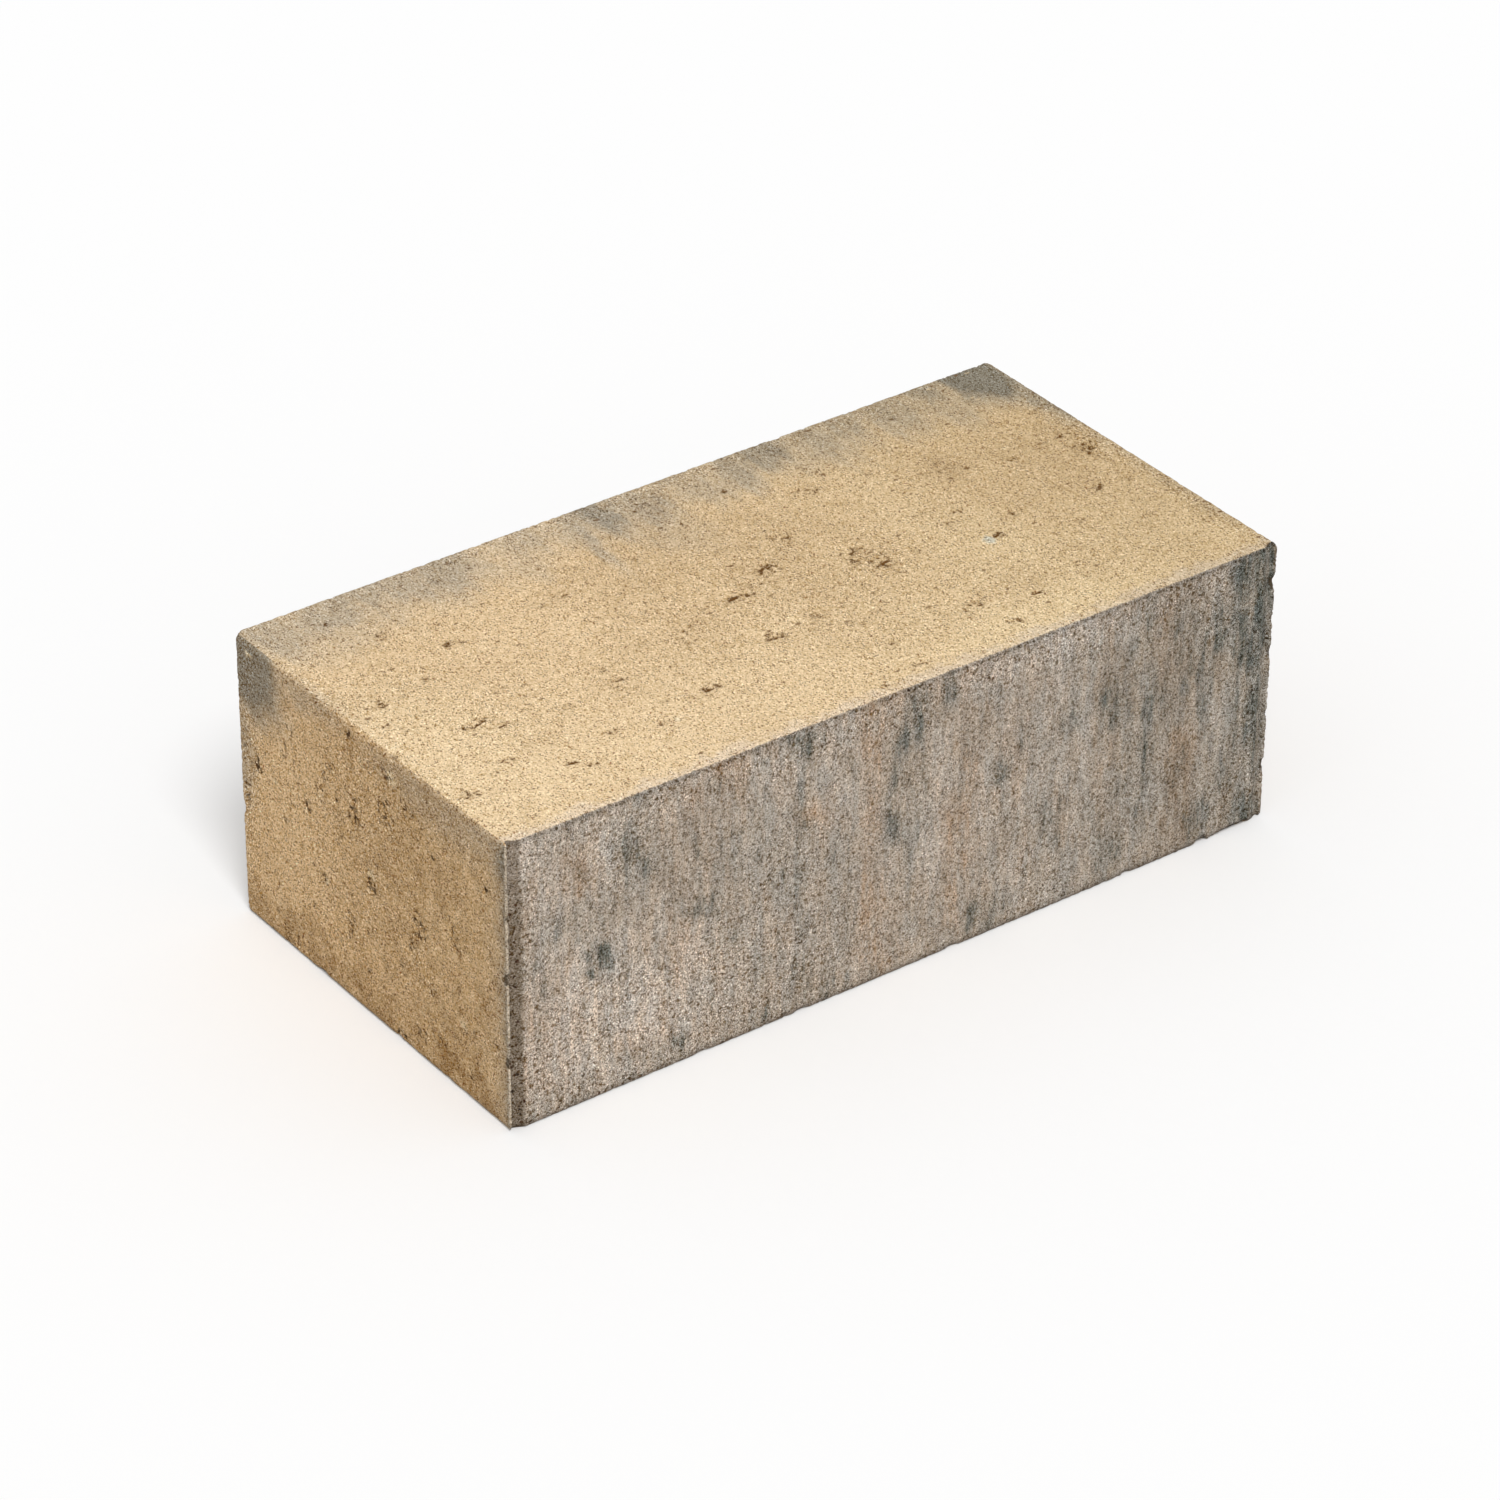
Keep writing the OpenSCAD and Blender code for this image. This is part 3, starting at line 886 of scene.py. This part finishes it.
def grains_group():
    """Sand in the paste: each grain has its own shade and height, and the gaps that some leave are
    painted dark with shade
    """
    tree, given, result = new_group(
        "Grains",
        [("Vector", VECTOR), ("Color", COLOUR), ("Gap Color", COLOUR), ("Size", FLOAT),
         ("Contrast", FLOAT), ("Gaps", FLOAT), ("Warmth", FLOAT)],
        [("Color", COLOUR), ("Height", FLOAT)])
    apart, own = ragged_cells(tree, given["Vector"], given["Size"], 1.0, 1.0, 0.3)
    plain, less_red = (1.0, 1.0, 1.0, 1.0), (0.75, 1.0, 1.25, 1.0)
    cool_dark, warm_dark = (0.2, 0.18, 0.16, 1.0), (0.24, 0.13, 0.03, 1.0)
    # Most grains differ a little, about one in nine is dark and one in thirteen pale
    shade = ramp(tree, own[0], 0.0, 0.8, -0.2, 0.1)
    shade = plus(tree, shade, ramp(tree, own[1], 0.83, 0.94, 0.0, -0.88))
    shade = plus(tree, shade, ramp(tree, own[2], 0.86, 0.99, 0.0, 0.42))
    shade = times(tree, shade, given["Contrast"])
    # The step is nearly the same in all three channels, as the eye sees them. Where it is
    # warm it is less in red and more in blue, which keeps dark grains brown
    step = scaled(tree, add(tree, "ShaderNodeGamma", {0: given["Color"], 1: 0.55}).outputs[0], shade)
    step = multiplied(tree, step, blend(tree, given["Warmth"], plain, less_red))
    colour = shifted(tree, given["Color"], step)
    darkest = multiplied(tree, given["Color"], blend(tree, given["Warmth"], cool_dark, warm_dark))
    colour = calc_vector(tree, "MAXIMUM", colour, darkest)
    # Painted shade: the gaps between some grains take the gap colour
    gap = ramp(tree, plus(tree, apart, given["Gaps"]), 0.78, 0.96)
    put(tree, result["Color"], blend(tree, times(tree, gap, 0.8), colour, given["Gap Color"]))
    dome = times(tree, minus(tree, 1.0, apart), plus(tree, own[1], 0.5))
    put(tree, result["Height"], minus(tree, dome, gap))
    return tree


def pits_group():
    """Scattered pits and pale crumbs, each in its own cell of the mix"""
    tree, given, result = new_group(
        "Pits",
        [("Vector", VECTOR), ("Size", FLOAT), ("Share", FLOAT)],
        [("Pit", FLOAT), ("Crumb", FLOAT)])
    apart, own = ragged_cells(tree, given["Vector"], given["Size"], 3.0, 2.0, 0.5)
    reach = plus(tree, times(tree, own[0], 0.2), 0.07)
    inside = ramp(tree, calc(tree, "DIVIDE", apart, reach), 1.25, 0.6)
    pit = times(tree, inside, ramp(tree, plus(tree, own[1], given["Share"]), 0.98, 1.02))
    crumb = times(tree, inside, ramp(tree, own[2], 0.9, 0.94))
    put(tree, result["Pit"], pit)
    put(tree, result["Crumb"], times(tree, crumb, minus(tree, 1.0, pit)))
    return tree


def pigment_group():
    """A pigment laid on softly, and winning whole specks where its mask is strong"""
    tree, given, result = new_group(
        "Pigment",
        [("Color", COLOUR), ("Pigment", COLOUR), ("Mask", FLOAT), ("Tone", FLOAT), ("Breakup", FLOAT),
         ("Soft", FLOAT), ("Specks", FLOAT)],
        [("Color", COLOUR)])
    ragged = times(tree, minus(tree, given["Breakup"], 0.5), 3.0)
    ragged = plus(tree, ragged, times(tree, minus(tree, given["Tone"], 0.5), 1.4))
    specks = ramp(tree, plus(tree, given["Mask"], ragged), 0.3, 1.05)
    share = times(tree, given["Mask"], given["Soft"])
    share = plus(tree, share, times(tree, specks, given["Specks"]))
    share = calc(tree, "MINIMUM", share, 0.95)
    put(tree, result["Color"], blend(tree, share, given["Color"], given["Pigment"]))
    return tree


def attribute(tree, name):
    """One of the block's own attributes"""
    return add(tree, "ShaderNodeAttribute", attribute_name=name).outputs["Fac"]


def body_mix_group(colours, pigment):
    """The sandy mix of the beds, ends and rear, without its grain"""
    tree, given, result = new_group(
        "Body mix",
        [("Vector", VECTOR), ("Behind", FLOAT), ("End", FLOAT), ("Smear", FLOAT), ("Damp and shade", FLOAT),
         ("Tone", FLOAT), ("Torn", FLOAT)],
        [("Color", COLOUR), ("Gaps", FLOAT)])
    vector = given["Vector"]
    wide = cloud(tree, vector, 0.035, 3.0, 0.55)
    patchy = cloud(tree, shifted(tree, vector, (0.3, 0.1, 0.2)), 0.008, 5.0, 0.7)
    # Painted light: the body mix is paler towards the facing, as light falling off towards the rear
    paler = ramp(tree, given["Behind"], 90.0, 8.0, 0.0, 0.42)
    colour = blend(tree, paler, colours.sand, colours.sand_pale)
    colour = blend(tree, ramp(tree, wide, 0.42, 0.68, 0.0, 0.12), colour, colours.sand_brown)
    colour = blend(tree, ramp(tree, patchy, 0.5, 0.78, 0.0, 0.16), colour, colours.sand_brown)
    colour = blend(tree, ramp(tree, given["Damp and shade"], 0.0, -1.0, 0.0, 0.8), colour, colours.sand_pale)
    # Browner where damp, and where painted shade lies along the foot of the ends
    damp_and_shade = times(tree, given["Damp and shade"], ramp(tree, patchy, 0.3, 0.7, 0.3, 0.9))
    colour = blend(tree, times(tree, damp_and_shade, 0.6), colour, colours.sand_brown)
    colour = blend(tree, ramp(tree, given["Torn"], 0.0, 0.4, 0.0, 0.35), colour, colours.sand_brown)
    # Paste from the facing mix greys the beds along the facing
    rim = plus(tree, given["Behind"], times(tree, minus(tree, patchy, 0.5), 22.0))
    rim = times(tree, ramp(tree, rim, 7.0, 1.0, 0.0, 0.42), minus(tree, 1.0, given["End"]))
    colour = blend(tree, rim, colour, colours.cream)
    # Grey smears drawn forward from the rear, in grains and fine lines
    drawn = cloud(tree, multiplied(tree, vector, (1.0, 0.16, 0.4)), 0.0024, 3.0, 0.6)
    grey = blend(tree, ramp(tree, given["Smear"], 0.35, 0.95), colours.rear_pale, colours.rear_grey)
    colour = place_group(
        tree, pigment,
        {"Color": colour, "Pigment": grey, "Mask": given["Smear"], "Tone": given["Tone"],
         "Breakup": drawn, "Soft": 0.88, "Specks": 0.12})["Color"]
    # Painted shade tone: the ends, of the same mix as the beds, are tinted warmer and deeper, as a
    # shaded face looks
    deeper = blend(tree, 1.0, colour, END_SHADE_TINT, "MULTIPLY")
    colour = blend(tree, given["End"], colour, deeper)
    gaps = plus(tree, ramp(tree, patchy, 0.35, 0.75, -0.2, 0.14), times(tree, given["End"], 0.07))
    put(tree, result["Color"], colour)
    put(tree, result["Gaps"], plus(tree, gaps, ramp(tree, given["Torn"], 0.0, 0.6, 0.0, 0.3)))
    return tree


def facing_mix_group(colours, pigment):
    """The mottled mix of the facing, streaked from bed to bed, without its grain"""
    tree, given, result = new_group(
        "Facing mix",
        [("Vector", VECTOR), ("Slate", FLOAT), ("Rust", FLOAT), ("Cream", FLOAT), ("Tone", FLOAT)],
        [("Color", COLOUR), ("Gaps", FLOAT)])
    vector = given["Vector"]
    upright = multiplied(tree, vector, (1.0, 1.0, 0.25))
    band = cloud(tree, upright, 0.008, 4.0, 0.6)
    rusty = cloud(tree, shifted(tree, upright, (0.2, 0.4, 0.1)), 0.014, 4.0, 0.6)
    lines = cloud(tree, multiplied(tree, vector, (1.0, 1.0, 0.12)), 0.0024, 2.0, 0.6)
    strands = cloud(tree, multiplied(tree, vector, (1.0, 1.0, 0.14)), 0.004, 3.0, 0.65)
    strands = ramp(tree, strands, 0.3, 0.7, 0.55, 1.45)
    breakup = cloud(tree, multiplied(tree, vector, (1.2, 1.0, 0.35)), 0.0036, 5.0, 0.72)
    clumps = cloud(tree, shifted(tree, vector, (0.9, 0.5, 0.6)), 0.0035, 5.0, 0.75)
    colour = blend(tree, ramp(tree, clumps, 0.3, 0.7, 0.0, 0.35), colours.facing, colours.cream)
    for tint, mask, spread, strength in (
        (colours.cream, given["Cream"], ramp(tree, band, 0.5, 0.3, 0.0, 0.4), 0.7),
        (colours.rust, given["Rust"], ramp(tree, rusty, 0.5, 0.75, 0.0, 0.35), 0.6),
        (colours.slate, given["Slate"], ramp(tree, band, 0.48, 0.75, 0.0, 0.6), 0.78),
    ):
        mask = times(tree, plus(tree, mask, spread), times(tree, strands, strength))
        colour = place_group(
            tree, pigment,
            {"Color": colour, "Pigment": tint, "Mask": mask, "Tone": given["Tone"],
             "Breakup": breakup, "Soft": 0.5, "Specks": 0.48})["Color"]
    colour = scaled(tree, colour, ramp(tree, lines, 0.3, 0.7, 1.12, 0.88))
    # Some strands are a little warmer than the others, and some cooler
    hue = cloud(tree, shifted(tree, upright, (0.6, 0.3, 0.8)), 0.005, 4.0, 0.65)
    tint = blend(tree, ramp(tree, hue, 0.34, 0.66), WARM_STRAND, COOL_STRAND)
    put(tree, result["Color"], multiplied(tree, colour, tint))
    put(tree, result["Gaps"], ramp(tree, clumps, 0.35, 0.7, 0.1, -0.22))
    return tree


class Surface:
    """What the concrete's material reads at a point: its place, its marks and its face.
    How far it lies behind the facing, and how deeply it is torn, are in millimetres"""

    def __init__(self, tree):
        self.vector = add(tree, "ShaderNodeTexCoord").outputs["Object"]
        self.place = add(tree, "ShaderNodeSeparateXYZ", {0: self.vector}).outputs
        self.behind = attribute(tree, "behind")
        self.torn = attribute(tree, "torn")
        self.open = attribute(tree, "open")
        self.slate = attribute(tree, "slate")
        self.tone = cloud(tree, shifted(tree, self.vector, (0.7, 0.2, 0.5)), 0.0009, 2.0, 0.6)
        from_middle = calc(tree, "ABSOLUTE", self.place["X"])
        self.on_end = ramp(tree, from_middle, HIGH[0] - 1.1 * MM, HIGH[0] - 0.3 * MM)
        # The facing mix ends a millimetre behind the facing, in a ragged line
        ragged = plus(tree, self.behind, times(tree, minus(tree, self.tone, 0.5), 1.8))
        self.on_facing = ramp(tree, ragged, 1.0, 0.1)


def body_finish(tree, here, colours, pigment):
    """The body mix with its stones: colour, and how open it is"""
    body = place_group(
        tree, body_mix_group(colours, pigment),
        {"Vector": here.vector, "Behind": here.behind, "End": here.on_end, "Torn": here.torn,
         "Smear": attribute(tree, "smear"), "Damp and shade": attribute(tree, "damp_and_shade"), "Tone": here.tone})
    stone = attribute(tree, "stone")
    stone_colour = blend(tree, ramp(tree, stone, 0.3, 0.9), colours.sand_pale, colours.stone)
    colour = blend(tree, ramp(tree, stone, 0.08, 0.3, 0.0, 0.85), body["Color"], stone_colour)
    return colour, body["Gaps"]


def facing_finish(tree, here, shape, colours, pigment):
    """The facing mix with its bevel, fin and upper arris: colour, how open it is, and bevel"""
    facing = place_group(
        tree, facing_mix_group(colours, pigment),
        {"Vector": here.vector, "Slate": here.slate, "Rust": attribute(tree, "rust"),
         "Cream": attribute(tree, "cream"), "Tone": here.tone})
    # The left bevel is painted dark with shade, less so near its top, and the tip of its fin is
    # painted pale as a highlight
    from_left = minus(tree, here.place["X"], LOW[0])
    uneven = cloud(tree, here.vector, 0.006, 4.0, 0.7)
    ragged = times(tree, minus(tree, uneven, 0.5), 2.2 * MM)
    bevel = plus(tree, from_left, ragged)
    bevel = ramp(tree, bevel, shape.bevel_width + 0.7 * MM, shape.bevel_width - 1.0 * MM)
    bevel_shade_by_height = ramp(tree, here.place["Z"], 40.0 * MM, 92.0 * MM, 0.94, 0.72)
    colour = blend(tree, times(tree, bevel, bevel_shade_by_height), facing["Color"], colours.bevel)
    fin = ramp(tree, from_left, shape.fin_tip + 0.6 * MM, shape.fin_tip)
    fin = times(tree, fin, ramp(tree, uneven, 0.7, 0.52))
    colour = blend(tree, fin, colour, colours.fin)
    # The facing darkens towards its upper arris, and most in its last millimetre
    lip = plus(tree, here.place["Z"], times(tree, ragged, 0.3))
    for below, above, shade in ((4.0, 1.2, 0.92), (2.0, 0.9, 0.68)):
        shade = ramp(tree, lip, HIGH[2] - below * MM, HIGH[2] - above * MM, 1.0, shade)
        colour = scaled(tree, colour, shade)
    return colour, facing["Gaps"], bevel


def painted_light_and_shade(tree, here, colours, colour):
    """A colour with painted shade at the foot of the facing, and painted light falling off towards
    the right end
    """
    # Painted shade along the foot of the facing, in the pore colour
    near_facing = ramp(tree, here.behind, 0.9, 0.2)
    foot = times(tree, ramp(tree, here.place["Z"], 4.0 * MM, 0.5 * MM, 0.0, 0.45), near_facing)
    colour = blend(tree, foot, colour, colours.pore)
    far = blend(tree, here.on_facing, RIGHT_BODY_PAINTED_SHADE, RIGHT_FACING_PAINTED_SHADE)
    # The painted falloff runs along the facing's whole length, and along the body mix from 60 mm in
    falloff_start = between(tree, here.on_facing, LOW[0] + 60 * MM, LOW[0])
    fade = blend(tree, ramp(tree, here.place["X"], falloff_start, HIGH[0]), LEFT_PAINTED_LIGHT, far)
    return multiplied(tree, colour, fade)


def sanded(tree, here, colour, gap_colour, gaps, bevel):
    """A colour with coarse sand and fine sand in it, and the height of the sand"""
    grains = grains_group()
    lively = plus(tree, 0.8, times(tree, here.open, 0.45))
    # Fine sand stands out more on the ends than on the beds, and less on the bevel
    on_body = ramp(tree, here.on_end, 0.0, 1.0, 1.16, 1.6)
    on_facing = ramp(tree, bevel, 0.0, 1.0, 1.6, 1.15)
    warmth = between(tree, here.on_facing, ramp(tree, here.on_end, 0.0, 1.0, 0.5, 0.7), 0.2)
    height = 0.0
    for size, stretch, contrast, closed, relief in (
        (COARSE_SAND, (1.0, 1.0, 1.0), (0.13, 0.36), 0.07, COARSE_HEIGHT),
        (FINE_SAND, (1.15, 0.75, 1.05), (on_body, on_facing), 0.1, FINE_HEIGHT),
    ):
        contrast = between(tree, here.on_facing, *contrast)
        sand = place_group(
            tree, grains,
            {"Vector": multiplied(tree, here.vector, stretch), "Size": size,
             "Color": colour, "Gap Color": gap_colour, "Contrast": times(tree, lively, contrast),
             "Gaps": minus(tree, gaps, closed), "Warmth": warmth})
        colour = sand["Color"]
        height = plus(tree, height, times(tree, sand["Height"], relief))
    return colour, height


def pitted(tree, here, colours, colour, gap_colour, height):
    """A colour and height with pits, pin holes, pale crumbs and torn places, the pits, pin holes and
    tears painted with shade
    """
    pits = pits_group()
    # Pits are drawn out along the beds, and up the ends and the facing
    drawn = blend(tree, here.on_end, (0.6, 1.0, 1.0, 1.0), (1.0, 1.0, 0.6, 1.0))
    drawn = blend(tree, here.on_facing, drawn, (1.0, 1.0, 0.8, 1.0))
    along = multiplied(tree, here.vector, drawn)
    crowd = cloud(tree, shifted(tree, here.vector, (0.5, 0.2, 0.8)), 0.016, 4.0, 0.7)
    crowd = plus(tree, ramp(tree, crowd, 0.42, 0.72, -0.06, 0.3), times(tree, here.open, 0.26))
    crowd = plus(tree, crowd, times(tree, here.slate, 0.16))
    dots = place_group(
        tree, pits,
        {"Vector": along, "Size": between(tree, here.on_facing, BODY_PITS, FACING_PITS),
         "Share": plus(tree, crowd, between(tree, here.on_facing, 0.08, 0.14))})
    pins = place_group(
        tree, pits,
        {"Vector": multiplied(tree, here.vector, (1.1, 0.8, 1.0)), "Size": PIN_HOLES,
         "Share": plus(tree, times(tree, crowd, 0.7), 0.2)})
    pale = blend(tree, here.on_facing, colours.sand_pale, colours.cream)
    # Pits and pin holes are painted with shade in the gap colour; the pale crumbs are the mix's own
    for marks, pit_share, crumb_share in ((dots, 0.75, 0.45), (pins, 0.85, 0.4)):
        colour = blend(tree, times(tree, marks["Pit"], pit_share), colour, gap_colour)
        colour = blend(tree, times(tree, marks["Crumb"], crumb_share), colour, pale)
    # Torn places are painted with shade between their crumbs
    crumbs = cloud(tree, along, TORN_CRUMBS, 3.0, 0.75)
    hole = plus(tree, here.torn, times(tree, minus(tree, crumbs, 0.5), 2.5))
    hole = times(tree, ramp(tree, hole, 0.48, 0.8), ramp(tree, here.torn, 0.05, 0.3, 0.0, 0.95))
    colour = blend(tree, hole, colour, gap_colour)
    height = minus(tree, height, times(tree, dots["Pit"], PIT_DEPTH))
    return colour, minus(tree, height, times(tree, hole, TORN_DEPTH))


def concrete_material(shape, colours):
    """Pressed concrete: the body mix, the facing mix at the front, and the sand in both"""
    material = bpy.data.materials.new("pressed_concrete")
    material.use_nodes = True
    tree = material.node_tree
    tree.nodes.clear()
    here, pigment = Surface(tree), pigment_group()
    body, body_gaps = body_finish(tree, here, colours, pigment)
    facing, facing_gaps, bevel = facing_finish(tree, here, shape, colours, pigment)
    gaps = between(tree, here.on_facing, body_gaps, facing_gaps)
    # Colour of the painted shade in the gaps between grains, in pits and in tears
    gap_colour = blend(tree, here.on_facing, colours.body_pore, colours.pore)
    colour = painted_light_and_shade(tree, here, colours, blend(tree, here.on_facing, body, facing))
    colour, height = sanded(tree, here, colour, gap_colour, gaps, bevel)
    colour, height = pitted(tree, here, colours, colour, gap_colour, height)
    bump = add(tree, "ShaderNodeBump", {"Strength": 1.0, "Distance": 1.0, "Height": height})
    shader = add(
        tree, "ShaderNodeBsdfPrincipled",
        {"Base Color": colour, "Roughness": 0.93, "Specular IOR Level": 0.2,
         "Normal": bump.outputs["Normal"]})
    add(tree, "ShaderNodeOutputMaterial", {"Surface": shader.outputs[0]})
    return material


# ---------------------------------------------------------------- operators


def new_object(name, bm):
    """A mesh object from a bmesh, linked to the scene"""
    mesh = bpy.data.meshes.new(name)
    bm.to_mesh(mesh)
    bm.free()
    made = bpy.data.objects.new(name, mesh)
    bpy.context.scene.collection.objects.link(made)
    return made


class WALLBLOCK_OT_press(bpy.types.Operator):
    """Press the concrete block: its fine surface and its finish"""

    bl_idname = "wallblock.press"
    bl_label = "Press the block"

    def execute(self, context):
        shape, colours = context.scene.wall_block_shape, context.scene.wall_block_colours
        # Unless it is seeded, the noise that the marks wander by changes from run to run
        noise.seed_set(shape.drift_seed)
        hollows = block_hollows(shape)
        bm = shaped_block(shape, hollows)
        mark_facing(bm)
        mark_rear(bm)
        mark_open(bm)
        carve(shape, bm, hollows)
        for face in bm.faces:
            face.smooth = True
        block = new_object("pressed_block", bm)
        block.data.materials.append(concrete_material(shape, colours))
        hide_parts("wall_block")
        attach(block, "root")
        return {"FINISHED"}


def seen_ray(tree):
    """1 for rays that see the stage, straight or in a reflection or through glass"""
    path = add(tree, "ShaderNodeLightPath").outputs
    seen = calc(tree, "MAXIMUM", path["Is Camera Ray"], path["Is Glossy Ray"])
    return calc(tree, "MAXIMUM", seen, path["Is Transmission Ray"])


def floor_material(stage):
    """Matt floor whose own colour is only seen, while it throws back less light"""
    material = bpy.data.materials.new("studio_floor")
    material.use_nodes = True
    tree = material.node_tree
    tree.nodes.clear()
    colour = blend(tree, seen_ray(tree), stage.bounce, stage.floor)
    shader = add(tree, "ShaderNodeBsdfDiffuse", {"Color": colour})
    add(tree, "ShaderNodeOutputMaterial", {"Surface": shader.outputs[0]})
    return material


def studio_world(stage):
    """Even light from all round, in front of a backdrop of the floor's colour"""
    world = bpy.data.worlds.new("studio_sky")
    world.use_nodes = True
    tree = world.node_tree
    tree.nodes.clear()
    seen = seen_ray(tree)
    colour = blend(tree, seen, (stage.sky, stage.sky, stage.sky, 1.0), stage.floor)
    shader = add(tree, "ShaderNodeBackground", {"Color": colour, "Strength": 1.0})
    add(tree, "ShaderNodeOutputWorld", {"Surface": shader.outputs[0]})
    return world


def direction(azimuth, elevation):
    """Unit vector away from the block: azimuth from the facing towards +X"""
    flat = math.cos(elevation)
    return Vector((math.sin(azimuth) * flat, -math.cos(azimuth) * flat, math.sin(elevation)))


def studio_floor(stage):
    """A wide floor for the block to lie on"""
    bm = bmesh.new()
    bmesh.ops.create_circle(bm, cap_ends=True, radius=FLOOR_RADIUS, segments=FLOOR_SIDES)
    floor = new_object("studio_floor", bm)
    floor.data.materials.append(floor_material(stage))


def turned_back(name, data, away, roll=0.0):
    """A lamp or camera that looks back along a direction away from the block, and is rolled
    about its line of sight"""
    made = bpy.data.objects.new(name, data)
    made.rotation_mode = "QUATERNION"
    made.rotation_quaternion = away.to_track_quat("Z", "Y") @ Quaternion((0, 0, 1), roll)
    bpy.context.scene.collection.objects.link(made)
    return made


def key_lamp(stage):
    """The main lamp: wide, so that the shadows are soft"""
    lamp = bpy.data.lights.new("key_lamp", "SUN")
    lamp.energy, lamp.angle = stage.key, stage.key_softness
    turned_back("key_lamp", lamp, direction(stage.key_azimuth, stage.key_elevation))


def studio_camera(stage):
    """The camera, looking at its aim"""
    away = direction(stage.azimuth, stage.elevation)
    camera = turned_back("camera", bpy.data.cameras.new("camera"), away, stage.roll)
    camera.data.lens = stage.lens
    camera.data.clip_end = CAMERA_REACH
    camera.location = Vector(stage.aim) + away * stage.distance
    return camera


class WALLBLOCK_OT_stage(bpy.types.Operator):
    """Set the pale floor, the soft light and the camera"""

    bl_idname = "wallblock.stage"
    bl_label = "Set the stage"

    def execute(self, context):
        scene, stage = context.scene, context.scene.wall_block_stage
        studio_floor(stage)
        scene.world = studio_world(stage)
        key_lamp(stage)
        scene.camera = studio_camera(stage)
        scene.view_settings.view_transform = "Standard"
        return {"FINISHED"}


class WALLBLOCK_PT_panel(bpy.types.Panel):
    """Lists the block's pieces and their settings"""

    bl_idname = "WALLBLOCK_PT_panel"
    bl_label = "Wall block"
    bl_space_type = "VIEW_3D"
    bl_region_type = "UI"
    bl_category = "Wall block"

    def draw(self, context):
        scene = context.scene
        for operator, settings in (
            ("wallblock.press", scene.wall_block_shape),
            (None, scene.wall_block_colours),
            ("wallblock.stage", scene.wall_block_stage),
        ):
            box = self.layout.box()
            for name in settings.bl_rna.properties.keys():
                if name not in {"name", "rna_type"}:
                    box.prop(settings, name)
            if operator:
                box.operator(operator)


CLASSES = (
    WallBlockShape, WallBlockColours, WallBlockStage,
    WALLBLOCK_OT_press, WALLBLOCK_OT_stage, WALLBLOCK_PT_panel,
)


def register():
    for cls in CLASSES:
        bpy.utils.register_class(cls)
    bpy.types.Scene.wall_block_shape = PointerProperty(type=WallBlockShape)
    bpy.types.Scene.wall_block_colours = PointerProperty(type=WallBlockColours)
    bpy.types.Scene.wall_block_stage = PointerProperty(type=WallBlockStage)


def unregister():
    del bpy.types.Scene.wall_block_stage
    del bpy.types.Scene.wall_block_colours
    del bpy.types.Scene.wall_block_shape
    for cls in reversed(CLASSES):
        bpy.utils.unregister_class(cls)


def main():
    register()
    bpy.ops.wallblock.press()
    bpy.ops.wallblock.stage()


if __name__ == "__main__":
    main()
